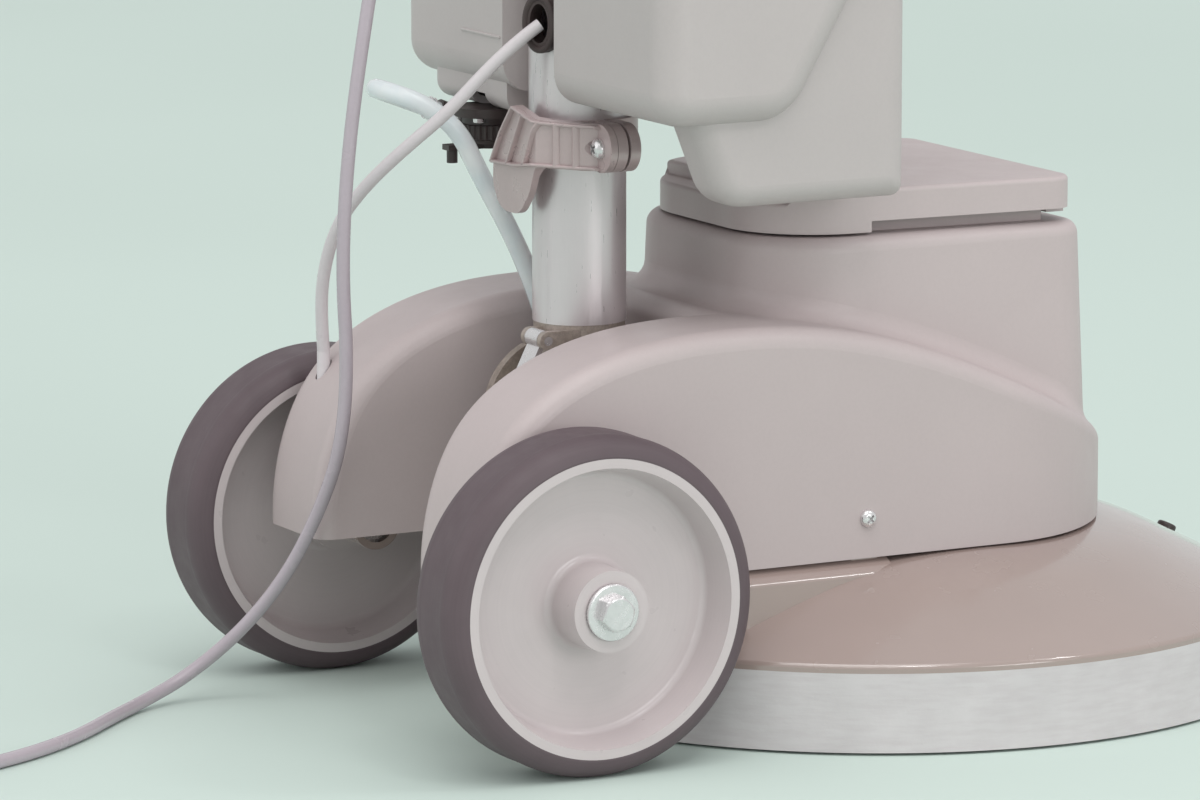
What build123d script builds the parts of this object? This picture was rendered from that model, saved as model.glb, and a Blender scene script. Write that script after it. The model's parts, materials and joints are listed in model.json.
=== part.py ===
from build123d import *
import os
from math import acos, atan2, cos, pi, radians, sin, sqrt, tan

# Single-disc floor machine, in millimetres.
# Origin: centre of the disc on the floor. X to the machine's right, Y forward, Z up.

# General clearances
turn_gap = 0.05
loose_gap = 0.3
end_gap = 0.4

# Disc, pad and skirt
pad_edge_gap = 6.5
pad_thickness = 20.0
drive_plate_inset = 3.0
drive_plate_thickness = 12.0
drive_boss_radius = 60.0
drive_boss_height = 6.0
skirt_radius = 223.5
skirt_wall = 5.0
skirt_flare = 1.0
skirt_clearance = 1.6

# Bell casting
bell_rim_z = 44.0
bell_lip = 4.0
bell_cone_run = 57.5
bell_knee_z = 76.3
bell_crown_run = 47.0
bell_top_z = 90.0
bell_wall = 5.0
bell_edge_round = 2.5
skirt_seat_depth = 18.0
bell_hub_radius = 34.0
bell_hub_depth = 32.0
bell_plug_radius = 5.5
bell_plug_height = 4.0
bell_plug_inset = 26.0
bell_plug_round = 1.5

# Axle arms of the bell
arm_width = 29.0
arm_shoulder = 6.5
arm_neck_inset = 6.5
arm_front_y = -58.0
arm_shoulder_y = -150.0
arm_shoulder_slant = 17.0
arm_bevel_drop = 6.5
arm_bevel_width = 12.0
arm_edge_round = 2.5
arm_depth = 40.0
arm_neck_front_y = -110.0
arm_neck_drop = 5.0
arm_neck_height = 20.0
axle_boss_radius = 14.0

# Wheels and axle
wheel_radius = 90.0
wheel_width = 48.0
wheel_gap = 6.5
tyre_depth = 11.0
tyre_wall = 1.0
tyre_shoulder = 14.0
rim_lip = 5.0
rim_recess = 20.0
rim_wall_draft = 5.0
rim_round = 4.0
hub_radius = 21.5
hub_outer_reach = 29.5
hub_draft = 1.0
axle_radius = 10.0
axle_recess = 3.0
axle_y = -260.0
washer_radius = 15.0
washer_thickness = 2.5
wheel_bolt_radius = 5.0
wheel_bolt_depth = 30.0
wheel_bolt_flats = 17.0
wheel_bolt_head = 6.4

# Plastic cover: wheel arches and motor tower
cover_wall = 3.5
cover_bottom_z = 90.5
cover_half_width = 123.5
cover_front_bulge = 4.0
cover_edge_round = 10.5
cover_cheek_round = 100.0
cover_blend_round = 12.0
arch_gap_half = 57.0
arch_gap_front_y = -140.0
arch_crest = [
    (-310.0, 90.5),
    (-306.0, 131.0),
    (-285.0, 175.0),
    (-237.0, 206.5),
    (-160.0, 219.3),
    (-85.0, 214.0),
    (37.0, 172.0),
    (140.0, 122.0),
]
tower_half_width = 97.5
tower_front_y = 93.0
tower_rear_y = -119.0
tower_front_round = 24.0
tower_rear_round = 60.0
tower_top_z = 258.0
tower_draft = 2.5
tower_edge_round = 8.0
tower_mouth_radius = 64.0
axle_notch_gap = 1.0
cover_screw_y = -72.0
cover_screw_z = 112.0
screw_radius = 2.5
screw_head_radius = 4.9
screw_head_height = 3.2
screw_head_round = 1.9
screw_tip_gap = 1.0
post_depth = 13.0
post_half_width = 8.0
post_rise = 10.0

# Motor lid
lid_front_y = 78.0
lid_rear_y = -107.5
lid_front_half = 91.0
lid_rear_half = 79.0
lid_front_round = 13.0
lid_rear_round = 52.0
lid_top_z = 283.0
lid_front_edge_z = 265.5
lid_rear_edge_z = 259.5
lid_step_y = -47.0
lid_wall = 3.5
lid_edge_round = 2.5
lid_rear_deck_y = -88.0
lid_rear_deck_drop = 7.0
lid_neck_inset = 14.0
lid_tab_length = 13.0
lid_tab_width = 12.0
lid_tab_drop = 3.5
lid_tab_inset = 1.0

# Gearbox, a fixed ring with three planets
gear_module = 1.5
sun_teeth = 12
planet_teeth = 30
ring_teeth = sun_teeth + 2 * planet_teeth
pressure_angle = radians(20)
gear_backlash = 0.30
addendum_share = 0.9
dedendum_share = 1.2
ring_root_share = 1.25
gear_width = 16.0
ring_wall = 10.0
planet_pin_radius = 6.0
carrier_radius = 46.0
carrier_thickness = 5.0
carrier_lift = 3.0
output_radius = 15.0
output_flange_radius = 40.0
output_flange_thickness = 7.0
output_bearing_wall = 8.0
output_bearing_width = 12.0
gearbox_bolt_radius = 2.5
gearbox_bolt_head = 4.5
gearbox_bolt_head_height = 2.5

# Motor
motor_radius = 72.0
motor_can_wall = 5.0
motor_flange_thickness = 8.0
motor_can_length = 100.0
stator_length = 72.0
rotor_radius = 40.0
air_gap = 0.6
rotor_shaft_radius = 11.5
rotor_bearing_wall = 8.0
rotor_bearing_width = 8.0
fan_radius = 56.0
fan_height = 9.0
fan_hub_radius = 18.0
fan_blade_root = 9.0
fan_blades = 9
fan_blade_thickness = 2.5

# Handle pivot
pivot_y = -181.0
pivot_z = 157.0
ear_radius = 40.0
ear_inner_x = 30.0
ear_thickness = 6.0
ear_neck_half = 29.0
bracket_plate = 6.0
pedestal_half_width = 38.0
pedestal_half_length = 40.0
pedestal_top_z = 100.0
pivot_pin_radius = 8.0
pivot_pin_head = 13.0
pivot_pin_head_height = 4.0
lug_radius = 26.0
knuckle_bottom_z = 192.0
knuckle_plug_length = 30.0
knuckle_neck_half = 20.3
knuckle_step = 0.6
bracket_bolt_radius = 3.0
bracket_bolt_head = 6.0
bracket_bolt_head_height = 3.0
bracket_bolt_depth = 24.0
bracket_bolt_edge = 3.0

# Handle tubes and clamp
stub_radius = 25.4
stub_wall = 2.2
stub_bottom_z = 211.0
stub_top_z = 430.0
tube_wall = 1.7
tube_foot = 1.5
tube_insert = 18.0
clamp_bottom_z = 296.5
clamp_top_z = 322.5
clamp_wall = 4.5
clamp_slot = 1.6
clamp_ear_reach = 12.75
clamp_ear_thickness = 6.0
clamp_bolt_radius = 3.0
clamp_nut_radius = 5.2
clamp_nut_height = 4.0
lever_thickness = 4.0
lever_elbow_x = 17.5
lever_arm_y_gap = 1.5
lever_boss_radius = 13.0
lever_step_start = 5.0
lever_step_end = 9.0
lever_step_depth = 15.0
lever_step_lag = 2.5
lever_bend_lag = 3.0
lever_bend_thickness = 3.5

# Toe latch on the knuckle
latch_x = 11.0
latch_width = 14.0
latch_thickness = 3.0
latch_pin_radius = 2.5
latch_eye_radius = 5.0
latch_pin_y = -211.5
latch_pin_z = 204.0
latch_foot_y = -229.5
latch_foot_z = 168.0
latch_lug_thickness = 4.0
tooth_angle = 152.0
tooth_gap = 0.6
tooth_half = 3.0
tooth_length = 7.5

# Solution tank
tank_half_width = 140.0
tank_front_y = -57.5
tank_core_rear_y = -148.0
tank_bottom_z = 332.0
tank_top_z = 596.0
tank_lobe_x = 151.0
tank_lobe_rear_y = -212.0
tank_lobe_front_y = -66.0
tank_lobe_toe_y = -132.0
tank_lobe_shoulder_z = 446.0
tank_lobe_round = 16.0
tank_lobe_heel_round = 18.0
tank_lobe_top_round = 36.0
tank_lobe_shoulder_round = 60.0
tank_lobe_toe_round = 32.0
tank_lobe_channel_lap = 1.0
tank_leg_width = 40.0
tank_leg_bottom_z = 286.5
tank_leg_rear_y = -168.0
tank_leg_slope = 18.0
tank_leg_heel_round = 20.0
tank_leg_nose_round = 16.0
tank_leg_bend_round = 10.0
tank_leg_front_round = 6.0
tank_joint_height = 24.0
tank_sump_outer_x = -126.0
tank_sump_inner_x = -36.0
tank_sump_rear_y = -206.0
tank_sump_bottom_z = 320.0
tank_sump_round = 9.0
tank_channel_gap = 1.5
tank_wall = 4.0
tank_edge_round = 12.0
tank_core_rear_round = 1.0
filler_radius = 32.0
filler_wall = 4.0
filler_y = -98.0
filler_height = 16.0
cap_thickness = 9.0
cap_overhang = 5.0
cap_edge_round = 3.0
cap_hinge_radius = 3.0
cap_hinge_width = 30.0
cap_hinge_gap = 1.0
cap_pin_radius = 2.0
cap_lug_width = 7.0
cap_lug_radius = 4.0
cap_ear_drop = 2.0
gusset_half_width = 8.0
gusset_depth = 20.0
gusset_toe = 6.0

# Valve under the far lobe
valve_x = -70.0
valve_y = -200.0
valve_flange_radius = 19.0
valve_flange_height = 5.0
valve_body_radius = 14.0
valve_port_radius = 10.0
valve_body_height = 14.5
valve_outlet_radius = 7.0
valve_spout_length = 9.0
valve_arm_length = 26.0
valve_arm_width = 8.0
valve_arm_eye = 6.0
valve_arm_thickness = 3.0
valve_arm_pin_radius = 3.0
valve_arm_pin_drop = 10.0

# Grommet in the handle tube
grommet_angle = -70.0
grommet_z = 374.0
grommet_half_width = 12.0
grommet_half_height = 16.0
grommet_wall = 2.5
grommet_reach = 5.0
grommet_lip = 3.0

# Handle head
head_half_width = 78.0
head_depth = 64.0
head_chin = 6.0
head_crown = 20.0
head_wall = 3.5
head_round = 14.0
head_seam = 0.2
loop_reach = 190.0
loop_top_z = 1156.0
loop_drop = 78.0
loop_radius = 12.5
loop_bend = 26.0
loop_root = 2.0
grip_radius = 16.5
grip_inset = 12.0
grip_end_gap = 2.0
grip_round = 2.0
trigger_thickness = 5.0
trigger_length = 34.0
trigger_pin_radius = 3.0
trigger_drop = 8.0
trigger_end_gap = 6.0
trigger_pin_reach = 4.0
trigger_nose = 4.0
trigger_lip = 4.0
trigger_lip_drop = 3.0
trigger_round = 2.0
trigger_bend_round = 3.0
trigger_tip_round = 1.0
button_radius = 10.0
button_rise = 7.0
button_travel = 4.0
button_flange = 3.0
button_round = 2.0
hook_drop = 72.0
hook_spacing = 270.0
hook_width = 22.0
hook_thickness = 6.0
hook_reach = 46.0
hook_tip = 26.0
hook_band = 5.0
hook_band_height = 30.0
hook_root = 2.0

# Cords
mains_radius = 3.7
lead_radius = 3.5
hose_radius = 5.4
relief_radius = 7.0
relief_collar = 4.0
relief_mouth_wall = 1.2
gland_radius = 9.0
gland_depth = 32.0
lead_hole_gap = 1.0
spigot_radius = 6.5
spigot_depth = 20.0
coil_mid_radius = 66.0
coil_turns_wide = 5
coil_turns_high = 4
plug_length = 38.0
plug_round = 5.2
plug_relief_length = 30.0
plug_relief_radius = 8.0
plug_angle = 200.0
plug_width = 36.0
plug_height = 26.0
plug_pin_radius = 2.4
plug_pin_length = 19.0
plug_pin_spacing = 19.0

mains_route = [
    (-40.0, -196.0, 1047.0),
    (-40.0, -199.0, 985.0),
    (-39.5, -208.0, 890.0),
    (-38.5, -220.5, 795.0),
    (-37.0, -235.0, 700.0),
    (-35.2, -251.0, 605.0),
    (-33.0, -269.0, 505.0),
    (-31.0, -289.0, 400.0),
    (-30.0, -304.0, 315.0),
    (-30.0, -309.0, 245.0),
    (-31.0, -305.0, 190.0),
    (-36.0, -307.0, 144.0),
    (-51.0, -313.0, 108.0),
    (-70.0, -324.0, 70.0),
    (-88.0, -343.0, 38.0),
    (-98.0, -371.0, 14.0),
    (-91.0, -402.0, 3.8),
    (-66.0, -430.0, 3.8),
    (-34.0, -463.0, 3.8),
    (-9.0, -498.0, 3.8),
    (9.0, -535.0, 3.8),
    (23.0, -573.0, 3.8),
    (33.0, -609.0, 3.8),
]
lead_route = [
    (10.7, -210.3, 373.5),
    (8.0, -220.0, 366.5),
    (0.0, -236.0, 350.0),
    (-13.0, -253.0, 326.5),
    (-33.0, -270.5, 304.5),
    (-56.0, -282.5, 282.5),
    (-78.0, -288.0, 260.0),
    (-93.0, -289.0, 233.0),
    (-101.0, -287.0, 208.0),
    (-104.0, -284.0, 186.0),
]
hose_route = [
    (-109.3, -211.0, 313.0),
    (-109.8, -230.5, 321.0),
    (-103.7, -249.3, 327.5),
    (-87.7, -260.9, 331.5),
    (-67.9, -260.9, 331.5),
    (-51.9, -249.3, 326.5),
    (-45.8, -230.5, 312.0),
    (-45.0, -217.5, 285.5),
    (-45.2, -199.0, 254.0),
    (-45.8, -183.5, 221.0),
    (-46.2, -172.5, 187.0),
    (-46.5, -167.0, 155.0),
    (-46.6, -165.0, 127.0),
    (-46.5, -165.5, 102.0),
]
lever_outline = [
    (57.0, 309.5),
    (44.5, 322.0),
    (24.0, 323.5),
    (-3.5, 329.5),
    (-18.0, 313.0),
    (-28.5, 296.0),
    (-29.0, 284.0),
    (-22.0, 273.0),
    (-9.0, 269.0),
    (3.0, 272.0),
    (13.0, 283.0),
    (20.0, 298.5),
    (44.5, 297.0),
]
lever_rounds = [6.0, 5.0, 0.0, 4.0, 30.0, 12.0, 11.0, 12.0, 12.0, 14.0, 20.0, 4.0, 4.0]

nodes = {}


# Plain solids

def block(x0, x1, y0, y1, z0, z1):
    """A box between two corners."""
    return Pos((x0 + x1) / 2, (y0 + y1) / 2, (z0 + z1) / 2) * Box(x1 - x0, y1 - y0, z1 - z0)


def rod(radius, start, end):
    """A round bar between two points."""
    start = Vector(*start)
    along = Vector(*end) - start
    flat_end = (Align.CENTER, Align.CENTER, Align.MIN)
    return Plane(start, z_dir=along) * Cylinder(radius, along.length, align=flat_end)


def tapered_rod(start_radius, end_radius, start, end):
    """A round bar that changes its radius from one end to the other."""
    start = Vector(*start)
    along = Vector(*end) - start
    flat_end = (Align.CENTER, Align.CENTER, Align.MIN)
    return Plane(start, z_dir=along) * Cone(start_radius, end_radius, along.length, align=flat_end)


def upright_rod(radius, x, y, z0, z1):
    return rod(radius, (x, y, z0), (x, y, z1))


def cross_rod(radius, x0, x1, y, z):
    return rod(radius, (x0, y, z), (x1, y, z))


def rounded(points, radii):
    """A closed outline with its own radius at each corner."""
    return make_face(FilletPolyline(*points, radius=radii, close=True))


def plain(points):
    """A closed outline with sharp corners."""
    return make_face(Polyline(*points, close=True))


def raise_plan(face, z0, z1):
    """Extrude an outline drawn in X and Y."""
    return Pos(0, 0, z0) * extrude(face, amount=z1 - z0)


def widen_side(face, x0, x1):
    """Extrude an outline drawn in Y and Z along X."""
    return Pos(x0, 0, 0) * extrude(Plane.YZ * face, amount=x1 - x0)


def deepen_front(face, y0, y1):
    """Extrude an outline drawn in X and Z along Y."""
    return Pos(0, y1, 0) * extrude(Plane.XZ * face, amount=y1 - y0)


def turn_upright(points):
    """Revolve an outline of radius and height about the Z axis."""
    return revolve(Plane.XZ * plain(points), Axis.Z)


def both_sides(part):
    return part + mirror(part, about=Plane.YZ)


def top_edges(part, above):
    """Edges that lie above a height and aren't upright."""
    found = part.edges().filter_by(lambda e: e.bounding_box().min.Z > above)
    return found.filter_by(lambda e: abs(e.tangent_at(0.5).Z) < 0.97)


# Disc

bell_radius = skirt_radius - skirt_flare
skirt_bore = bell_radius - skirt_wall
seat_bore = skirt_bore - skirt_wall
pad_radius = seat_bore - pad_edge_gap
drive_plate_radius = pad_radius - drive_plate_inset
plate_bottom_z = pad_thickness
plate_top_z = plate_bottom_z + drive_plate_thickness
boss_top_z = plate_top_z + drive_boss_height


def make_disc():
    nodes["floor_pad"] = upright_rod(pad_radius, 0, 0, 0, pad_thickness)
    plate = upright_rod(drive_plate_radius, 0, 0, plate_bottom_z, plate_top_z)
    nodes["drive_plate"] = plate + upright_rod(drive_boss_radius, 0, 0, plate_top_z, boss_top_z)


# Bell casting

bell_lip_z = bell_rim_z + bell_lip
bell_knee_radius = bell_radius - bell_cone_run
bell_crown_radius = bell_knee_radius - bell_crown_run
bell_slope = atan2(bell_knee_z - bell_lip_z, bell_cone_run)
arm_top_z = bell_top_z
wheel_centre_x = cover_half_width + wheel_gap + wheel_width / 2
cover_front_radius = cover_half_width + cover_front_bulge
arm_outer_x = cover_half_width + arm_shoulder
arm_neck_x = cover_half_width - arm_neck_inset
arm_inner_x = arm_neck_x - arm_width
axle_z = wheel_radius
hub_inner_x = wheel_centre_x - wheel_width / 2 - end_gap
axle_boss_end = hub_inner_x - end_gap
cover_inner_x = cover_half_width - cover_wall
post_outer_x = cover_inner_x - loose_gap
hub_bore = output_radius + turn_gap + output_bearing_wall
hub_bottom_z = bell_top_z - bell_wall - bell_hub_depth
ring_root_radius = gear_module * (ring_teeth / 2 + ring_root_share)
gear_bolt_circle = ring_root_radius + ring_wall / 2


def bell_height(radius):
    """Height of the bell's cone at a distance from its axis."""
    return bell_knee_z - (radius - bell_knee_radius) * tan(bell_slope)


def bell_form(inset, bottom_z):
    """The bell's solid form, with its outside faces moved in."""
    knee = (bell_knee_radius - inset * sin(bell_slope), bell_knee_z - inset * cos(bell_slope))
    lip_z = bell_lip_z - inset * (1 - sin(bell_slope)) / cos(bell_slope)
    lip = (bell_radius - inset, lip_z)
    crown = (bell_crown_radius, bell_top_z - inset)
    start = Polyline((0, bottom_z), (bell_radius - inset, bottom_z), lip, knee)
    crown_arc = TangentArc(knee, crown, tangent=(knee[0] - lip[0], knee[1] - lip[1]))
    finish = Polyline(crown, (0, bell_top_z - inset), (0, bottom_z))
    return revolve(Plane.XZ * make_face([start, crown_arc, finish]), Axis.Z)


def axle_arm():
    """The right arm: a shoulder on the bell, and a neck inside the cover that ends in the axle's boss."""
    neck_y = arm_shoulder_y - arm_shoulder_slant
    outline = [
        (arm_inner_x, arm_front_y),
        (arm_outer_x, arm_front_y),
        (arm_outer_x, arm_shoulder_y),
        (arm_neck_x, neck_y),
        (arm_inner_x, neck_y),
    ]
    shoulder = raise_plan(plain(outline), arm_top_z - arm_depth, arm_top_z)
    outer_face = shoulder.faces().sort_by(Axis.X)[-1]
    outer_edge = outer_face.edges().sort_by(Axis.Z)[-1]
    shoulder = chamfer(outer_edge, arm_bevel_drop, arm_bevel_width, reference=outer_face)
    ridge = shoulder.edges().filter_by(Axis.Y).group_by(Axis.X)[-1].sort_by(Axis.Z)[-1:]
    shoulder = fillet(ridge, arm_edge_round)
    end_y = axle_y - axle_boss_radius
    neck_z = axle_z - arm_neck_drop
    neck = block(arm_inner_x, arm_neck_x, end_y, arm_neck_front_y, neck_z, neck_z + arm_neck_height)
    return shoulder + neck + cross_rod(axle_boss_radius, arm_inner_x, axle_boss_end, axle_y, axle_z)


def make_bell():
    shell = bell_form(0, bell_rim_z)
    rim_edges = shell.edges().filter_by(GeomType.CIRCLE).group_by(SortBy.RADIUS)[-1].sort_by(Axis.Z)
    shell = fillet(rim_edges[-1:], bell_edge_round)
    pedestal = block(
        -pedestal_half_width,
        pedestal_half_width,
        pivot_y - pedestal_half_length,
        pivot_y + pedestal_half_length,
        arm_top_z - arm_depth,
        pedestal_top_z,
    )
    shell = shell + both_sides(axle_arm()) + pedestal
    shell = shell - bell_form(bell_wall, 0)
    seat_bottom = bell_rim_z - skirt_seat_depth
    seat = upright_rod(skirt_bore - turn_gap, 0, 0, seat_bottom, bell_lip_z)
    seat = seat - upright_rod(seat_bore, 0, 0, seat_bottom, bell_lip_z)
    hub = upright_rod(bell_hub_radius, 0, 0, hub_bottom_z, bell_top_z - bell_wall)
    post = block(
        post_outer_x - post_depth,
        post_outer_x,
        cover_screw_y - post_half_width,
        cover_screw_y + post_half_width,
        bell_top_z - 2 * bell_wall,
        cover_screw_z + post_rise,
    )
    shell = shell + seat + hub + both_sides(post)
    shell = shell - upright_rod(hub_bore, 0, 0, hub_bottom_z, bell_top_z)
    shell = shell - cross_rod(axle_radius + turn_gap, -axle_boss_end, axle_boss_end, axle_y, axle_z)
    screw_hole = screw_radius + turn_gap
    shell = shell - cross_rod(screw_hole, -post_outer_x, post_outer_x, cover_screw_y, cover_screw_z)
    for place in PolarLocations(gear_bolt_circle, 4, start_angle=45):
        bolt_hole = place * Cylinder(gearbox_bolt_radius + turn_gap, 4 * bell_top_z)
        shell = shell - bolt_hole
    shell = shell - bracket_bolt_holes(arm_top_z - arm_depth)
    spigot_x, spigot_y = hose_route[-1][:2]
    shell = shell - upright_rod(spigot_radius, spigot_x, spigot_y, 0, bell_top_z)
    nodes["bell_housing"] = shell
    skirt_profile = [
        (skirt_bore, skirt_clearance),
        (skirt_radius, skirt_clearance),
        (bell_radius, bell_rim_z),
        (skirt_bore, bell_rim_z),
    ]
    nodes["splash_skirt"] = turn_upright(skirt_profile)
    bell_plug_reach = bell_radius - bell_plug_inset
    plug_z = bell_height(bell_plug_reach)
    out = Vector(0, sin(bell_slope), cos(bell_slope))
    foot = Vector(0, bell_plug_reach, plug_z)
    plug = rod(bell_plug_radius, foot, foot + out * bell_plug_height)
    nodes["bell_plug"] = fillet(plug.edges().sort_by(Axis.Z)[-1:], bell_plug_round)


# Wheels

def make_wheel(side, name):
    """One wheel, turned about X. The outside face looks away from the machine."""
    rim_radius = wheel_radius - tyre_depth
    half = wheel_width / 2
    web_face = half - rim_recess
    lip_radius = rim_radius - rim_lip
    wall_foot = lip_radius - rim_wall_draft
    hub_in = hub_inner_x - wheel_centre_x
    bore = axle_radius + turn_gap
    rim_profile = [
        (bore, hub_in),
        (hub_radius, hub_in),
        (hub_radius, -web_face),
        (wall_foot, -web_face),
        (lip_radius, -half),
        (rim_radius, -half),
        (rim_radius, half),
        (lip_radius, half),
        (wall_foot, web_face),
        (hub_radius + hub_draft, web_face),
        (hub_radius, hub_outer_reach),
        (bore, hub_outer_reach),
    ]
    rim = turn_upright(rim_profile)
    corner_radii = (wall_foot, hub_radius, hub_radius + hub_draft)
    corners = rim.edges().filter_by(GeomType.CIRCLE)
    corners = corners.filter_by(lambda e: any(abs(e.radius - r) < 0.01 for r in corner_radii))
    corners = corners.filter_by(lambda e: abs(e.center().Z) < half - 1)
    rim = fillet(corners, rim_round)
    tread = half - tyre_shoulder
    wall_radius = rim_radius + tyre_wall
    crown = wheel_radius - wall_radius
    slant = sqrt(0.5)
    middle = (wall_radius + crown * slant, tread + tyre_shoulder * slant)
    tyre_edges = [
        Polyline((wall_radius, half), (rim_radius, half), (rim_radius, -half), (wall_radius, -half)),
        ThreePointArc((wall_radius, -half), (middle[0], -middle[1]), (wheel_radius, -tread)),
        Line((wheel_radius, -tread), (wheel_radius, tread)),
        ThreePointArc((wheel_radius, tread), middle, (wall_radius, half)),
    ]
    tyre = revolve(Plane.XZ * make_face(tyre_edges), Axis.Z)
    place = Plane((side * wheel_centre_x, axle_y, axle_z), z_dir=(side, 0, 0))
    nodes[f"wheel_rim_{name}"] = place * rim
    nodes[f"wheel_tyre_{name}"] = place * tyre


def make_axle():
    end_x = wheel_centre_x + hub_outer_reach + end_gap
    axle = cross_rod(axle_radius, arm_inner_x + axle_recess, end_x, axle_y, axle_z)
    bolt_bore = wheel_bolt_radius + turn_gap
    hole = cross_rod(bolt_bore, end_x - wheel_bolt_depth, end_x, axle_y, axle_z)
    nodes["wheel_axle"] = both_sides(axle - hole)
    washer = cross_rod(washer_radius, end_x, end_x + washer_thickness, axle_y, axle_z)
    washer = washer - cross_rod(bolt_bore, end_x, end_x + washer_thickness, axle_y, axle_z)
    nodes["wheel_washers"] = both_sides(washer)
    head_x = end_x + washer_thickness
    head = RegularPolygon(wheel_bolt_flats / 2, 6, major_radius=False)
    bolt = Plane((head_x, axle_y, axle_z), z_dir=(1, 0, 0)) * extrude(head, amount=wheel_bolt_head)
    tip_x = end_x - wheel_bolt_depth + end_gap
    nodes["wheel_bolts"] = both_sides(bolt + cross_rod(wheel_bolt_radius, tip_x, head_x, axle_y, axle_z))


# Cover

arch_rear_y = arch_crest[0][0]


def crest_points(inset):
    """The arches' side outline, moved in along its own normal."""
    moved = []
    last = len(arch_crest) - 1
    for index, point in enumerate(arch_crest):
        before = arch_crest[max(index - 1, 0)]
        after = arch_crest[min(index + 1, last)]
        run = Vector(after[0] - before[0], after[1] - before[1]).normalized()
        moved.append((point[0] + run.Y * inset, point[1] - run.X * inset))
    return moved


def arch_form(inset, bottom_z):
    """Both arches and the body between them."""
    half = cover_half_width - inset
    front_radius = cover_front_radius - inset
    corner_y = sqrt(front_radius ** 2 - half ** 2)
    points = crest_points(inset)
    crest = Spline(*points)
    low_z = bottom_z - 2 * cover_wall
    sides = Polyline(points[-1], (points[-1][0], low_z), (points[0][0], low_z), points[0])
    side_face = make_face([crest, sides])
    body = widen_side(side_face, -half, half)
    plan = make_face([
        Polyline((half, corner_y), (half, arch_rear_y - 1), (-half, arch_rear_y - 1), (-half, corner_y)),
        ThreePointArc((-half, corner_y), (0, front_radius), (half, corner_y)),
    ])
    cheeks = plan.vertices().filter_by(lambda v: abs(v.Y - corner_y) < 0.01)
    plan = fillet(cheeks, cover_cheek_round - inset)
    body = body & raise_plan(plan, bottom_z, lid_top_z)
    gap_half = arch_gap_half + inset
    body = body - block(-gap_half, gap_half, arch_rear_y - 1, arch_gap_front_y + inset, bottom_z, lid_top_z)
    curved = body.edges().filter_by(lambda e: e.geom_type != GeomType.LINE)
    crest_edges = curved.filter_by(lambda e: e.bounding_box().max.Z > cover_bottom_z + cover_edge_round)
    return fillet(crest_edges, cover_edge_round - inset)


def tower_form(inset, bottom_z, top_z):
    half = tower_half_width - inset
    front = tower_front_y - inset
    rear = tower_rear_y + inset
    outline = [(half, front), (-half, front), (-half, rear), (half, rear)]
    front_round = tower_front_round - inset
    rear_round = tower_rear_round - inset
    face = rounded(outline, [front_round, front_round, rear_round, rear_round])
    rise = top_z - cover_bottom_z
    tower = Pos(0, 0, cover_bottom_z) * extrude(face, amount=rise, taper=tower_draft)
    if bottom_z < cover_bottom_z:
        tower = tower + raise_plan(face, bottom_z, cover_bottom_z)
    return tower


def make_cover():
    tower = tower_form(0, cover_bottom_z, tower_top_z)
    tower = fillet(tower.faces().sort_by(Axis.Z)[-1].edges(), tower_edge_round)
    arches = arch_form(0, cover_bottom_z)
    outside = arches + tower
    joint = new_edges(arches, tower, combined=outside)
    joint = joint.filter_by(lambda e: e.bounding_box().max.Z > cover_bottom_z + end_gap)
    outside = fillet(joint, cover_blend_round)
    under = cover_bottom_z - 1
    inside = arch_form(cover_wall, under) + tower_form(cover_wall, under, tower_top_z - cover_wall)
    cover = outside - inside
    cover = cover - upright_rod(tower_mouth_radius, 0, 0, tower_top_z - 2 * cover_wall, tower_top_z)
    notch_radius = axle_boss_radius + axle_notch_gap
    notch = cross_rod(notch_radius, arm_inner_x, cover_half_width, axle_y, axle_z)
    cover = cover - both_sides(notch)
    screw_hole = screw_radius + turn_gap
    cover = cover - cross_rod(screw_hole, -cover_half_width, cover_half_width, cover_screw_y, cover_screw_z)
    gland_x, gland_y, gland_z = lead_route[-1]
    lead_hole = lead_radius + lead_hole_gap
    cover = cover - upright_rod(lead_hole, gland_x, gland_y, gland_z - 2 * gland_depth, gland_z)
    nodes["chassis_cover"] = cover
    head_end = cover_half_width + screw_head_height
    head = cross_rod(screw_head_radius, cover_half_width, head_end, cover_screw_y, cover_screw_z)
    head = fillet(head.edges().sort_by(Axis.X)[-1:], screw_head_round)
    tip_x = post_outer_x - post_depth + screw_tip_gap
    shank = cross_rod(screw_radius, tip_x, cover_half_width, cover_screw_y, cover_screw_z)
    nodes["cover_screws"] = both_sides(head + shank)


def lid_plan(inset):
    front_half = lid_front_half - inset
    rear_half = lid_rear_half - inset
    outline = [
        (front_half, lid_front_y - inset),
        (-front_half, lid_front_y - inset),
        (-rear_half, lid_rear_y + inset),
        (rear_half, lid_rear_y + inset),
    ]
    front_round = max(lid_front_round - inset, 1)
    rear_round = lid_rear_round - inset
    return rounded(outline, [front_round, front_round, rear_round, rear_round])


def make_lid():
    wide = lid_front_half + 1
    lid = raise_plan(lid_plan(0), lid_rear_edge_z, lid_top_z)
    deck_z = lid_top_z - lid_rear_deck_drop
    lid = lid - block(-wide, wide, lid_rear_y - 1, lid_rear_deck_y, deck_z, lid_top_z)
    lid = fillet(top_edges(lid, deck_z - 1), lid_edge_round)
    lid = lid - block(-wide, wide, lid_step_y, lid_front_y + 1, lid_rear_edge_z, lid_front_edge_z)
    ceiling_z = deck_z - lid_wall
    lid = lid - raise_plan(lid_plan(lid_wall), lid_rear_edge_z, ceiling_z)
    neck = raise_plan(lid_plan(lid_neck_inset), tower_top_z, ceiling_z)
    lid = lid + (neck - raise_plan(lid_plan(lid_neck_inset + lid_wall), tower_top_z, ceiling_z))
    tab_x = lid_front_half - lid_front_round
    tab = block(
        tab_x - lid_tab_length,
        tab_x,
        lid_front_y - lid_tab_width,
        lid_front_y - lid_tab_inset,
        lid_front_edge_z - lid_tab_drop,
        ceiling_z,
    )
    nodes["motor_lid"] = lid + both_sides(tab)


# Gearbox

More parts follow.
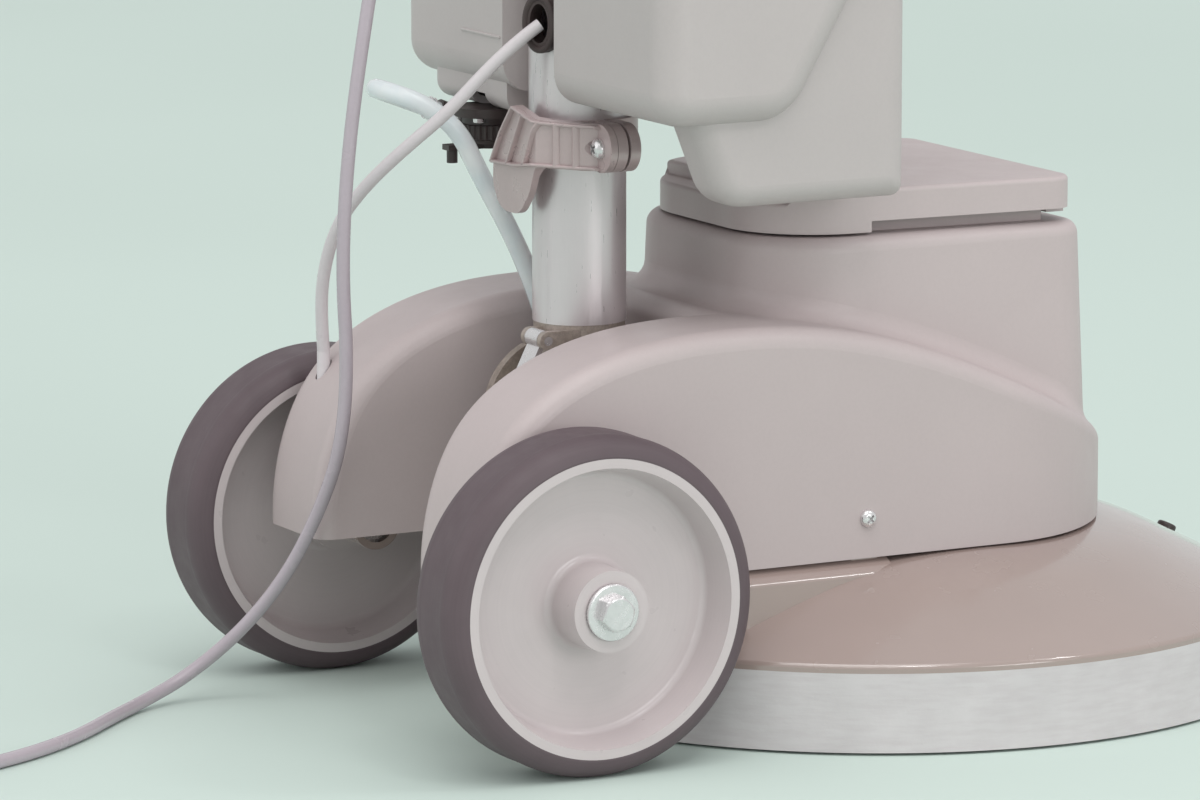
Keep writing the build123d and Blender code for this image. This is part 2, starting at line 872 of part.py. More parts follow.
def gear_outline(teeth, addendum, dedendum, thinning):
    """Involute tooth outline with flat facets."""
    pitch = gear_module * teeth / 2
    base = pitch * cos(pressure_angle)
    start_angle = tan(pressure_angle) - pressure_angle
    half_tooth = pi / (2 * teeth) - thinning / (2 * pitch)
    steps = [-dedendum, -dedendum / 2, 0, addendum / 2, addendum]
    flank = []
    for step in steps:
        radius = pitch + step
        roll = acos(min(base / radius, 1))
        flank.append((radius, half_tooth + start_angle - (tan(roll) - roll)))
    points = []
    for tooth in range(teeth):
        centre = 2 * pi * tooth / teeth
        for radius, angle in flank:
            points.append((radius * cos(centre - angle), radius * sin(centre - angle)))
        for radius, angle in reversed(flank):
            points.append((radius * cos(centre + angle), radius * sin(centre + angle)))
    return plain(points)


sun_pitch = gear_module * sun_teeth / 2
planet_pitch = gear_module * planet_teeth / 2
planet_orbit = sun_pitch + planet_pitch
carrier_bottom_z = bell_top_z + carrier_lift
carrier_top_z = carrier_bottom_z + carrier_thickness
planet_bottom_z = carrier_top_z + end_gap
planet_top_z = planet_bottom_z + gear_width
ring_top_z = planet_top_z + carrier_lift
tooth_height = gear_module * addendum_share
tooth_root = gear_module * dedendum_share


def make_gearbox():
    ring_outer = ring_root_radius + ring_wall
    ring_space = gear_outline(ring_teeth, tooth_root, tooth_height, -gear_backlash / 2)
    ring = upright_rod(ring_outer, 0, 0, bell_top_z, ring_top_z)
    for place in PolarLocations(gear_bolt_circle, 4, start_angle=45):
        ring = ring - place * Cylinder(gearbox_bolt_radius + turn_gap, 4 * ring_top_z)
    nodes["ring_gear"] = ring - raise_plan(ring_space, bell_top_z, ring_top_z)
    bore = RegularPolygon(planet_pin_radius + turn_gap, 24, major_radius=False)
    planet = gear_outline(planet_teeth, tooth_height, tooth_root, gear_backlash / 2) - bore
    carrier = upright_rod(carrier_radius, 0, 0, carrier_bottom_z, carrier_top_z)
    carrier = carrier + upright_rod(output_radius, 0, 0, boss_top_z, carrier_bottom_z)
    flange_top = boss_top_z + output_flange_thickness
    carrier = carrier + upright_rod(output_flange_radius, 0, 0, boss_top_z, flange_top)
    for number in range(3):
        around = 360 * number / 3
        x = planet_orbit * cos(radians(around))
        y = planet_orbit * sin(radians(around))
        nodes[f"planet_gear_{number + 1}"] = raise_plan(Pos(x, y, 0) * planet, planet_bottom_z, planet_top_z)
        pin_top = planet_top_z + end_gap
        carrier = carrier + upright_rod(planet_pin_radius, x, y, carrier_top_z, pin_top)
    nodes["planet_carrier"] = carrier


# Motor

flange_top_z = ring_top_z + motor_flange_thickness
can_top_z = flange_top_z + motor_can_length
motor_cap_top_z = can_top_z + motor_flange_thickness
rotor_bearing_bore = rotor_shaft_radius + turn_gap
rotor_seat = rotor_bearing_bore + rotor_bearing_wall


def make_motor():
    flange = upright_rod(motor_radius, 0, 0, ring_top_z, flange_top_z)
    flange = flange - upright_rod(rotor_seat, 0, 0, ring_top_z, flange_top_z)
    head_z = flange_top_z
    bolts = []
    for place in PolarLocations(gear_bolt_circle, 4, start_angle=45):
        x, y = place.position.X, place.position.Y
        flange = flange - upright_rod(gearbox_bolt_radius + turn_gap, x, y, ring_top_z, flange_top_z)
        bolt = upright_rod(gearbox_bolt_radius, x, y, bell_top_z - bell_wall, head_z)
        head = upright_rod(gearbox_bolt_head, x, y, head_z, head_z + gearbox_bolt_head_height)
        bolts.append(bolt + head)
    nodes["motor_flange"] = flange
    nodes["gearbox_bolts"] = Compound(children=bolts)
    can_bore = motor_radius - motor_can_wall
    can = upright_rod(motor_radius, 0, 0, flange_top_z, can_top_z)
    can = can - upright_rod(can_bore, 0, 0, flange_top_z, can_top_z)
    for bolt in bolts:
        centre = bolt.center()
        recess_top = flange_top_z + gearbox_bolt_head_height + loose_gap
        can = can - upright_rod(gearbox_bolt_head + loose_gap, centre.X, centre.Y, flange_top_z, recess_top)
    nodes["motor_can"] = can
    stator_bottom = (flange_top_z + can_top_z - stator_length) / 2
    stator_top = stator_bottom + stator_length
    stator = upright_rod(can_bore - turn_gap, 0, 0, stator_bottom, stator_top)
    nodes["stator_core"] = stator - upright_rod(rotor_radius + air_gap, 0, 0, stator_bottom, stator_top)
    cap = upright_rod(motor_radius, 0, 0, can_top_z, motor_cap_top_z)
    nodes["motor_cap"] = cap - upright_rod(rotor_seat, 0, 0, can_top_z, motor_cap_top_z)
    sun = Rot(0, 0, 180 / sun_teeth) * gear_outline(sun_teeth, tooth_height, tooth_root, gear_backlash / 2)
    fan_bottom = motor_cap_top_z + end_gap
    fan_top = fan_bottom + fan_height
    rotor = raise_plan(sun, planet_bottom_z, ring_top_z - end_gap)
    rotor = rotor + upright_rod(rotor_shaft_radius, 0, 0, ring_top_z - end_gap, fan_top)
    rotor = rotor + upright_rod(rotor_radius, 0, 0, stator_bottom, stator_top)
    nodes["motor_rotor"] = rotor
    fan = upright_rod(fan_hub_radius, 0, 0, fan_bottom, fan_top)
    for place in PolarLocations(0, fan_blades):
        half = fan_blade_thickness / 2
        fan = fan + place * block(fan_blade_root, fan_radius, -half, half, fan_bottom, fan_top)
    nodes["cooling_fan"] = fan - upright_rod(rotor_shaft_radius, 0, 0, fan_bottom, fan_top)


def bearing_ring(outer, inner, bottom_z, width):
    ring = upright_rod(outer, 0, 0, bottom_z, bottom_z + width)
    return ring - upright_rod(inner, 0, 0, bottom_z, bottom_z + width)


def make_bearings():
    seat = hub_bore - turn_gap / 2
    bore = output_radius + turn_gap
    bearings = bearing_ring(seat, bore, hub_bottom_z, output_bearing_width)
    bearings = bearings + bearing_ring(seat, bore, bell_top_z - output_bearing_width, output_bearing_width)
    seat = rotor_seat - turn_gap / 2
    bearings = bearings + bearing_ring(seat, rotor_bearing_bore, ring_top_z, rotor_bearing_width)
    nodes["bearings"] = bearings + bearing_ring(seat, rotor_bearing_bore, can_top_z, rotor_bearing_width)


# Handle pivot

bracket_half = ear_inner_x + ear_thickness
bracket_top_z = pedestal_top_z + bracket_plate


def bracket_bolt_places():
    reach_x = ear_inner_x - bracket_bolt_head - bracket_bolt_edge
    reach_y = pedestal_half_length - bracket_bolt_head - bracket_bolt_edge
    return [(x, pivot_y + y) for x in (-reach_x, reach_x) for y in (-reach_y, reach_y)]


def bracket_bolt_holes(bottom_z):
    holes = [upright_rod(bracket_bolt_radius + turn_gap, x, y, bottom_z, bracket_top_z)
             for x, y in bracket_bolt_places()]
    return Compound(children=holes)


def make_pivot():
    rear_y = pivot_y - pedestal_half_length
    front_y = pivot_y + pedestal_half_length
    plate = block(-bracket_half, bracket_half, rear_y, front_y, pedestal_top_z, bracket_top_z)
    ear = cross_rod(ear_radius, ear_inner_x, bracket_half, pivot_y, pivot_z)
    ear_rear_y = pivot_y - ear_neck_half
    ear_front_y = pivot_y + ear_neck_half
    ear = ear + block(ear_inner_x, bracket_half, ear_rear_y, ear_front_y, pedestal_top_z, pivot_z)
    bracket = plate + both_sides(ear)
    bracket = bracket - cross_rod(pivot_pin_radius + turn_gap, -bracket_half, bracket_half, pivot_y, pivot_z)
    nodes["pivot_bracket"] = bracket - bracket_bolt_holes(pedestal_top_z)
    shanks = []
    for x, y in bracket_bolt_places():
        shank = upright_rod(bracket_bolt_radius, x, y, pedestal_top_z - bracket_bolt_depth, bracket_top_z)
        head = upright_rod(bracket_bolt_head, x, y, bracket_top_z, bracket_top_z + bracket_bolt_head_height)
        shanks.append(shank + head)
    nodes["bracket_bolts"] = Compound(children=shanks)
    pin = cross_rod(pivot_pin_radius, -bracket_half, bracket_half, pivot_y, pivot_z)
    head = cross_rod(pivot_pin_head, bracket_half, bracket_half + pivot_pin_head_height, pivot_y, pivot_z)
    nodes["pivot_pin"] = pin + both_sides(head)


def make_knuckle():
    lug_half = ear_inner_x - loose_gap
    lug = cross_rod(lug_radius, -lug_half, lug_half, pivot_y, pivot_z)
    neck = knuckle_neck_half
    lug = lug + block(-neck, neck, pivot_y - neck, pivot_y + neck, pivot_z, knuckle_bottom_z)
    lug = lug + upright_rod(stub_radius - knuckle_step, 0, pivot_y, knuckle_bottom_z, stub_bottom_z)
    plug_radius = stub_radius - stub_wall - turn_gap
    lug = lug + upright_rod(plug_radius, 0, pivot_y, stub_bottom_z, stub_bottom_z + knuckle_plug_length)
    strip_left = latch_x - latch_width / 2
    strip_right = latch_x + latch_width / 2
    lug_left = strip_left - loose_gap - latch_lug_thickness
    lug_right = strip_right + loose_gap + latch_lug_thickness
    for x0, x1 in ((lug_left, strip_left - loose_gap), (strip_right + loose_gap, lug_right)):
        boss = cross_rod(latch_eye_radius, x0, x1, latch_pin_y, latch_pin_z)
        web_bottom = latch_pin_z - latch_eye_radius
        web = block(x0, x1, latch_pin_y, pivot_y, web_bottom, web_bottom + 2 * latch_eye_radius)
        lug = lug + boss + web
    lug = lug - cross_rod(latch_pin_radius + turn_gap, lug_left, lug_right, latch_pin_y, latch_pin_z)
    lug = lug - cross_rod(pivot_pin_radius + turn_gap, -lug_half, lug_half, pivot_y, pivot_z)
    nodes["pivot_knuckle"] = lug
    pin = Vector(latch_pin_y, latch_pin_z)
    foot = Vector(latch_foot_y, latch_foot_z)
    across = (foot - pin).normalized().rotate(Axis.Z, 90) * (latch_thickness / 2)
    strip_face = plain([pin + across, pin - across, foot - across, foot + across])
    latch = widen_side(strip_face, strip_left, strip_right)
    latch = latch + cross_rod(latch_eye_radius, strip_left, strip_right, latch_pin_y, latch_pin_z)
    latch = latch + cross_rod(latch_pin_radius, lug_left, lug_right, latch_pin_y, latch_pin_z)
    out = Vector(cos(radians(tooth_angle)), sin(radians(tooth_angle)))
    along = Vector(-out.Y, out.X) * tooth_half
    pivot = Vector(pivot_y, pivot_z)
    tooth_in = pivot + out * (ear_radius + tooth_gap)
    tooth_out = tooth_in + out * tooth_length
    tooth_face = plain([tooth_in + along, tooth_in - along, tooth_out - along, tooth_out + along])
    nodes["toe_latch"] = latch + widen_side(tooth_face, strip_left, bracket_half)


# Handle tubes and clamp

loop_bottom_z = loop_top_z - loop_drop
head_top_z = loop_top_z + head_crown
head_bottom_z = loop_bottom_z - head_chin
hook_high_z = head_bottom_z - hook_drop
hook_low_z = hook_high_z - hook_spacing
tube_bottom_z = clamp_bottom_z - tube_foot
tube_top_z = head_bottom_z + tube_insert
tube_bore = stub_radius + 2 * turn_gap
tube_radius = tube_bore + tube_wall
clamp_bore = tube_radius + turn_gap
clamp_radius = clamp_bore + clamp_wall
clamp_mid_z = (clamp_bottom_z + clamp_top_z) / 2
clamp_bolt_x = clamp_radius + clamp_ear_reach


def make_tubes():
    stub = upright_rod(stub_radius, 0, pivot_y, stub_bottom_z, stub_top_z)
    stub = stub - upright_rod(stub_radius - stub_wall, 0, pivot_y, stub_bottom_z, stub_top_z)
    handle = upright_rod(tube_radius, 0, pivot_y, tube_bottom_z, tube_top_z)
    handle = handle - upright_rod(tube_bore, 0, pivot_y, tube_bottom_z, tube_top_z)
    out = Vector(cos(radians(grommet_angle)), sin(radians(grommet_angle)), 0)
    across = Plane((0, pivot_y, grommet_z), x_dir=(-out.Y, out.X, 0), z_dir=out)

    def oval(inset, start, end):
        face = Ellipse(grommet_half_width - inset, grommet_half_height - inset)
        return across * (Pos(0, 0, start) * extrude(face, amount=end - start))

    cut = oval(grommet_lip, 0, 2 * tube_radius)
    nodes["stub_tube"] = stub - cut
    nodes["handle_tube"] = handle - cut
    flange = oval(0, 0, tube_radius + grommet_reach)
    bottom_z = grommet_z - 2 * grommet_half_height
    flange = flange - upright_rod(tube_radius, 0, pivot_y, bottom_z, bottom_z + 4 * grommet_half_height)
    sleeve = oval(grommet_lip + turn_gap, stub_radius - stub_wall, tube_radius)
    nodes["lead_grommet"] = flange + sleeve - oval(grommet_lip + grommet_wall, 0, 2 * tube_radius)


def make_clamp():
    collar = upright_rod(clamp_radius, 0, pivot_y, clamp_bottom_z, clamp_top_z)
    ear_half = clamp_ear_thickness + clamp_slot / 2
    ears = block(0, clamp_bolt_x, pivot_y - ear_half, pivot_y + ear_half, clamp_bottom_z, clamp_top_z)
    ear_round = (clamp_top_z - clamp_bottom_z) / 2
    ear_start = (clamp_bolt_x, pivot_y - ear_half, clamp_mid_z)
    ear_end = (clamp_bolt_x, pivot_y + ear_half, clamp_mid_z)
    ears = ears + rod(ear_round, ear_start, ear_end)
    collar = collar + ears
    collar = collar - upright_rod(clamp_bore, 0, pivot_y, clamp_bottom_z, clamp_top_z)
    slot = clamp_slot / 2
    collar = collar - block(0, 2 * clamp_bolt_x, pivot_y - slot, pivot_y + slot, clamp_bottom_z, clamp_top_z)
    rear_y = pivot_y - ear_half
    front_y = pivot_y + ear_half
    boss_rear_y = rear_y - loose_gap - lever_thickness
    bolt_start = (clamp_bolt_x, boss_rear_y - loose_gap, clamp_mid_z)
    bolt_end = (clamp_bolt_x, front_y + clamp_nut_height, clamp_mid_z)
    collar = collar - rod(clamp_bolt_radius + turn_gap, bolt_start, bolt_end)
    nodes["clamp_collar"] = collar
    bolt = rod(clamp_bolt_radius, bolt_start, bolt_end)
    head_end = (clamp_bolt_x, bolt_start[1] - clamp_nut_height, clamp_mid_z)
    bolt = bolt + rod(clamp_nut_radius, bolt_start, head_end)
    nut_start = (clamp_bolt_x, front_y, clamp_mid_z)
    nodes["clamp_bolt"] = bolt + rod(clamp_nut_radius, nut_start, bolt_end)
    arm_near_y = pivot_y - clamp_radius - lever_arm_y_gap
    arm_far_y = arm_near_y - lever_thickness
    near_x = clamp_bolt_x + lever_boss_radius
    far_x = min(point[0] for point in lever_outline) - 1
    step_x = clamp_bolt_x - lever_step_end
    step_y = pivot_y - lever_step_depth
    strip = plain([
        (near_x, rear_y - loose_gap),
        (clamp_bolt_x - lever_step_start, rear_y - loose_gap),
        (step_x, step_y),
        (lever_elbow_x, arm_near_y),
        (far_x, arm_near_y),
        (far_x, arm_far_y),
        (lever_elbow_x + lever_bend_lag, arm_far_y),
        (step_x + lever_bend_lag, step_y - lever_bend_thickness),
        (clamp_bolt_x - lever_step_start + lever_step_lag, boss_rear_y),
        (near_x, boss_rear_y),
    ])
    outline = rounded(lever_outline, lever_rounds)
    lever = raise_plan(strip, clamp_bottom_z - 2 * lever_boss_radius, clamp_top_z + lever_boss_radius)
    lever = lever & deepen_front(outline, arm_far_y - 1, rear_y + 1)
    boss_front = (clamp_bolt_x, rear_y - loose_gap, clamp_mid_z)
    boss_rear = (clamp_bolt_x, boss_rear_y, clamp_mid_z)
    lever = lever + rod(lever_boss_radius, boss_front, boss_rear)
    lever = lever - rod(clamp_nut_radius + loose_gap, boss_rear, (clamp_bolt_x, arm_far_y, clamp_mid_z))
    nodes["clamp_lever"] = lever - rod(clamp_bolt_radius + turn_gap, bolt_start, bolt_end)


# Solution tank

def tank_lobe(inset):
    """One side lobe, drawn on the right."""
    bottom = tank_bottom_z + inset
    top = tank_top_z - inset
    rear = tank_lobe_rear_y + inset
    front = tank_lobe_front_y - inset
    outline = [
        (rear, bottom),
        (rear, top),
        (front, top),
        (front, tank_lobe_shoulder_z),
        (tank_lobe_toe_y - inset, bottom),
    ]
    top_round = tank_lobe_top_round - inset
    heel_round = tank_lobe_heel_round - inset
    front_rounds = [tank_lobe_shoulder_round, tank_lobe_toe_round]
    face = rounded(outline, [heel_round, top_round, top_round] + front_rounds)
    inner_x = tube_radius + tank_channel_gap + tank_lobe_channel_lap + inset
    lobe = widen_side(face, inner_x, tank_lobe_x - inset)
    outer_face = lobe.faces().sort_by(Axis.X)[-1]
    return fillet(outer_face.edges(), tank_lobe_round - inset)


def tank_core(inset):
    half = tank_half_width - inset
    rear = tank_core_rear_y + inset
    front = tank_front_y - inset
    outline = [(half, front), (-half, front), (-half, rear), (half, rear)]
    corner = tank_edge_round - inset
    face = rounded(outline, [corner, corner, tank_core_rear_round, tank_core_rear_round])
    core = raise_plan(face, tank_bottom_z + inset, tank_top_z - inset)
    crown = core.faces().sort_by(Axis.Z)[-1].edges()
    return fillet(crown.filter_by(lambda e: e.center().Y > rear + tank_core_rear_round), corner)


def tank_leg(inset):
    """The deep foot on the right, beside the motor lid."""
    rear = tank_leg_rear_y + inset
    front = tank_front_y - inset
    bottom = tank_leg_bottom_z + inset
    joint = tank_bottom_z + tank_joint_height
    outline = [
        (rear, bottom),
        (rear - tank_leg_slope, tank_bottom_z + inset),
        (rear - tank_leg_slope, joint),
        (front, joint),
        (front, bottom),
    ]
    face = rounded(outline, [tank_leg_heel_round - inset, tank_leg_bend_round, 0, 0, tank_leg_front_round])
    leg = widen_side(face, tank_half_width - tank_leg_width + inset, tank_half_width - inset)
    upright = leg.edges().filter_by(Axis.Z).sort_by(Axis.X)[-2:]
    leg = fillet(upright.sort_by(Axis.Y)[-1:], tank_edge_round - inset)
    nose_y = rear + tank_leg_heel_round
    nose = leg.edges().filter_by(lambda e: e.bounding_box().size.X < 0.01 and e.center().Y < nose_y)
    return fillet(nose, tank_leg_nose_round - inset)


def tank_sump(inset):
    """The shallow foot on the left, above the valve."""
    rear = tank_sump_rear_y + inset
    bottom = tank_sump_bottom_z + inset
    joint = tank_bottom_z + tank_joint_height
    outline = [(rear, bottom), (rear, joint), (tank_core_rear_y, joint), (tank_core_rear_y, bottom)]
    face = rounded(outline, [tank_sump_round - inset, 0, 0, 0])
    sump = widen_side(face, tank_sump_outer_x + inset, tank_sump_inner_x - inset)
    outer_face = sump.faces().sort_by(Axis.X)[0]
    low_edges = outer_face.edges().filter_by(lambda e: e.center().Z < joint - 1)
    return fillet(low_edges.filter_by(lambda e: e.center().Y < tank_core_rear_y - 1), tank_sump_round - inset)


def make_tank():
    outside = tank_core(0) + both_sides(tank_lobe(0)) + tank_leg(0) + tank_sump(0)
    inside = tank_core(tank_wall) + both_sides(tank_lobe(tank_wall))
    inside = inside + tank_leg(tank_wall) + tank_sump(tank_wall)
    neck_top = tank_top_z + filler_height
    outside = outside + upright_rod(filler_radius, 0, filler_y, tank_top_z - tank_wall, neck_top)
    tank = outside - inside
    tank = tank - upright_rod(filler_radius - filler_wall, 0, filler_y, tank_top_z - 2 * tank_wall, neck_top)
    channel = tube_radius + tank_channel_gap
    tank = tank - upright_rod(channel, 0, pivot_y, tank_leg_bottom_z, tank_top_z + 1)
    hinge_y = filler_y - filler_radius - cap_overhang - cap_hinge_radius - cap_hinge_gap
    hinge_z = neck_top + cap_thickness / 2
    half = cap_hinge_width / 2
    inner = half - cap_lug_width
    for x0, x1 in ((-half, -inner), (inner, half)):
        lug_rear = hinge_y - cap_lug_radius
        lug_front = hinge_y + cap_lug_radius
        lug = block(x0, x1, lug_rear, lug_front, tank_top_z - tank_wall, hinge_z)
        tank = tank + lug + cross_rod(cap_lug_radius, x0, x1, hinge_y, hinge_z)
    tank = tank - cross_rod(cap_pin_radius + turn_gap, -half, half, hinge_y, hinge_z)
    port_bottom = tank_sump_bottom_z - tank_wall
    tank = tank - upright_rod(valve_port_radius, valve_x, valve_y, port_bottom, port_bottom + 3 * tank_wall)
    nodes["solution_tank"] = tank
    cap_radius = filler_radius + cap_overhang
    cap = upright_rod(cap_radius, 0, filler_y, neck_top + loose_gap, neck_top + cap_thickness)
    cap = fillet(cap.edges().sort_by(Axis.Z)[-1:], cap_edge_round)
    inner = inner - loose_gap
    ear_top = neck_top + cap_thickness - cap_ear_drop
    ear = block(-inner, inner, hinge_y, filler_y, neck_top + loose_gap, ear_top)
    ear = ear + cross_rod(cap_hinge_radius, -inner, inner, hinge_y, hinge_z)
    pin = cross_rod(cap_pin_radius, -half, half, hinge_y, hinge_z)
    nodes["tank_cap"] = cap + ear + pin
    front = pivot_y + tube_radius
    gusset = plain([
        (pivot_y, clamp_top_z + end_gap),
        (front + gusset_toe, clamp_top_z + end_gap),
        (front + gusset_depth, tank_bottom_z),
        (pivot_y, tank_bottom_z),
    ])
    gusset = widen_side(gusset, -gusset_half_width, gusset_half_width)
    nodes["tank_gusset"] = gusset - upright_rod(tube_radius, 0, pivot_y, clamp_top_z, tank_bottom_z + 1)


def make_valve():
    flange_z = tank_sump_bottom_z - valve_flange_height
    body_z = flange_z - valve_body_height
    valve = upright_rod(valve_flange_radius, valve_x, valve_y, flange_z, tank_sump_bottom_z)
    valve = valve + upright_rod(valve_body_radius, valve_x, valve_y, body_z, flange_z)
    spout_end = Vector(*hose_route[0])
    spout_line = (Vector(*hose_route[1]) - spout_end).normalized()
    elbow = spout_end - spout_line * valve_spout_length
    valve = valve + rod(valve_outlet_radius, (valve_x, elbow.Y, elbow.Z), elbow)
    valve = valve + Pos(*elbow) * Sphere(valve_outlet_radius)
    valve = valve + rod(valve_outlet_radius, elbow, spout_end)
    spindle_top = body_z + valve_body_height / 2
    spindle_bore = valve_arm_pin_radius + turn_gap
    nodes["tank_valve"] = valve - upright_rod(spindle_bore, valve_x, valve_y, body_z, spindle_top + end_gap)
    arm_z = body_z - end_gap
    arm_bottom = arm_z - valve_arm_thickness
    tip_y = valve_y - valve_arm_length
    half = valve_arm_width / 2
    swing = upright_rod(valve_arm_eye, valve_x, valve_y, arm_bottom, arm_z)
    swing = swing + block(valve_x - half, valve_x + half, tip_y, valve_y, arm_bottom, arm_z)
    peg_bottom = arm_z - valve_arm_pin_drop
    swing = swing + upright_rod(valve_arm_pin_radius, valve_x, tip_y + half, peg_bottom, arm_z)
    nodes["valve_arm"] = swing + upright_rod(valve_arm_pin_radius, valve_x, valve_y, arm_z, spindle_top)


# Handle head

head_front_y = pivot_y + head_depth / 2
head_rear_y = pivot_y - head_depth / 2


def head_form(inset):
    half = head_half_width - inset
    bottom = head_bottom_z + inset
    top = head_top_z - inset
    form = block(-half, half, head_rear_y + inset, head_front_y - inset, bottom, top)
    return fillet(form.edges(), head_round - inset)


def grip_loop():
    """The bar of the right grip, out of the head and back into it."""
    inner = head_half_width - head_wall - loop_root
    route = [
        (inner, pivot_y, loop_top_z),
        (loop_reach, pivot_y, loop_top_z),
        (loop_reach, pivot_y, loop_bottom_z + loop_radius),
        (inner, pivot_y, loop_bottom_z + loop_radius),
    ]
    path = FilletPolyline(*route, radius=loop_bend)
    return sweep(Plane(path @ 0, z_dir=path % 0) * Circle(loop_radius), path=path)


def make_head():
    shell = head_form(0) - head_form(head_wall)
    reach = head_half_width + 1
    low_bar_z = loop_bottom_z + loop_radius
    for z in (loop_top_z, low_bar_z):
        shell = shell - cross_rod(loop_radius + turn_gap, -reach, reach, pivot_y, z)
    shell = shell - upright_rod(tube_radius + turn_gap, 0, pivot_y, head_bottom_z - 1, tube_top_z)
    deck_z = head_top_z - head_wall
    over = head_top_z + 1
    under = head_bottom_z - 1
    shell = shell - upright_rod(button_radius + loose_gap, 0, pivot_y, deck_z - head_wall, over)
    relief_x, relief_y = mains_route[0][:2]
    relief_bore = relief_radius + turn_gap
    shell = shell - upright_rod(relief_bore, relief_x, relief_y, under, head_bottom_z + 2 * head_wall)
    wide = 2 * head_half_width
    front_half = block(-wide, wide, pivot_y + head_seam / 2, head_front_y + 1, under, over)
    rear_half = block(-wide, wide, head_rear_y - 1, pivot_y - head_seam / 2, under, over)
    nodes["head_front_shell"] = shell & front_half
    nodes["head_rear_shell"] = shell & rear_half
    nodes["grip_loops"] = both_sides(grip_loop())
    grip_start = head_half_width + grip_inset
    grip_end = loop_reach - loop_bend - grip_end_gap
    grip = cross_rod(grip_radius, grip_start, grip_end, pivot_y, loop_top_z)
    grip = grip - cross_rod(loop_radius + turn_gap, grip_start, grip_end, pivot_y, loop_top_z)
    circles = grip.edges().filter_by(GeomType.CIRCLE)
    grip = fillet(circles.filter_by(lambda e: abs(e.radius - grip_radius) < 0.01), grip_round)
    nodes["grip_sleeves"] = both_sides(grip)
    flange_top = deck_z - end_gap
    flange_z = flange_top - button_flange
    button = upright_rod(button_radius, 0, pivot_y, flange_z - button_travel, head_top_z + button_rise)
    button = fillet(button.edges().sort_by(Axis.Z)[-1:], button_round)
    button = button + upright_rod(button_radius + button_flange, 0, pivot_y, flange_z, flange_top)
    nodes["safety_button"] = button


def make_triggers():
    top_z = loop_top_z - grip_radius - trigger_drop
    pin_y = pivot_y + grip_radius
    start = head_half_width + trigger_end_gap
    end = loop_reach - loop_bend - trigger_end_gap
    rear = pin_y - trigger_length
    bottom_z = top_z - trigger_thickness
    nose = pin_y + trigger_nose
    lip_z = bottom_z - trigger_lip_drop
    outline = [
        (nose, bottom_z),
        (nose, top_z),
        (rear, top_z),
        (rear - trigger_lip, lip_z),
        (rear - trigger_lip / 2, lip_z - trigger_tip_round),
        (rear + trigger_lip, bottom_z),
    ]
    lip_rounds = [trigger_bend_round, trigger_tip_round, trigger_tip_round, trigger_bend_round]
    plate = rounded(outline, [trigger_round, trigger_round] + lip_rounds)
    lever = widen_side(plate, start, end)
    pin_z = top_z - trigger_thickness / 2
    pin_start = head_half_width - head_wall - trigger_pin_reach
    lever = lever + cross_rod(trigger_pin_radius, pin_start, start, pin_y, pin_z)
    nodes["trigger_right"] = lever
    nodes["trigger_left"] = mirror(lever, about=Plane.YZ)
    hole = cross_rod(trigger_pin_radius + turn_gap, -start, start, pin_y, pin_z)
    nodes["head_front_shell"] = nodes["head_front_shell"] - hole


def cord_hook(z, up):
    """A hook that the cord is wound on, on a band round the tube, with its tip up (1) or down (-1)."""
    bottom_z = z - hook_band_height / 2
    top_z = z + hook_band_height / 2
    band = upright_rod(tube_radius + hook_band, 0, pivot_y, bottom_z, top_z)
    band = band - upright_rod(tube_radius + turn_gap, 0, pivot_y, bottom_z, top_z)
    rear = pivot_y - tube_radius - hook_band
    root = rear + hook_root
    tip = rear - hook_reach
    half = up * hook_thickness / 2
    point_z = z + half + up * hook_tip
    arm = plain([
        (root, z - half),
        (root, z + half),
        (tip + hook_thickness, z + half),
        (tip + hook_thickness, point_z),
        (tip, point_z),
        (tip, z - half),
    ])
    return band + widen_side(arm, -hook_width / 2, hook_width / 2)


def make_hooks():
    nodes["cord_hooks"] = cord_hook(hook_high_z, 1) + cord_hook(hook_low_z, -1)


# Cords and what they come out of

def cord_tube(name, route, radius):
    """A tube of straight runs joined by the largest tangent arcs that fit."""
    points = [Vector(*point) for point in route]
    radii = []
    for before, corner, after in zip(points, points[1:], points[2:]):
        first = corner - before
        second = after - corner
        turn = radians(first.get_angle(second))
        radii.append(0.45 * min(first.length, second.length) / tan(turn / 2))
    path = FilletPolyline(*route, radius=radii)
    tube = sweep(Plane(path @ 0, z_dir=path % 0) * Circle(radius), path=path)
    share = tube.volume / (pi * radius ** 2 * path.length)
    tightest = min(radii)
    print(f"{name}: length {path.length:.0f} tightest radius {tightest:.0f} volume share {share:.4f}")
    print("   radii", [round(value) for value in radii])
    nodes[name] = tube


def make_cords():
    cord_tube("mains_cord", mains_route, mains_radius)
    cord_tube("motor_lead", lead_route, lead_radius)
    cord_tube("solution_hose", hose_route, hose_radius)
    relief_x, relief_y, relief_end = mains_route[0]
    collar_z = head_bottom_z - relief_collar
    mouth = mains_radius + relief_mouth_wall
    relief = upright_rod(relief_radius, relief_x, relief_y, collar_z, head_bottom_z + 3 * head_wall)
    relief = relief + tapered_rod(mouth, relief_radius, mains_route[0], (relief_x, relief_y, collar_z))
    nodes["cord_relief"] = relief - nodes["mains_cord"]
    gland_x, gland_y, gland_top = lead_route[-1]
    gland_z = gland_top - gland_depth
    gland = upright_rod(gland_radius, gland_x, gland_y, gland_z, gland_top) - arch_form(0, cover_bottom_z)
    stem = lead_radius + lead_hole_gap - turn_gap
    gland = gland + upright_rod(stem, gland_x, gland_y, gland_z, gland_top)
    nodes["lead_gland"] = gland - nodes["motor_lead"]
    spigot_x, spigot_y, spigot_top = hose_route[-1]
    spigot_z = bell_top_z - spigot_depth
    spigot = upright_rod(spigot_radius - turn_gap, spigot_x, spigot_y, spigot_z, spigot_top)
    nodes["hose_spigot"] = spigot - nodes["solution_hose"]


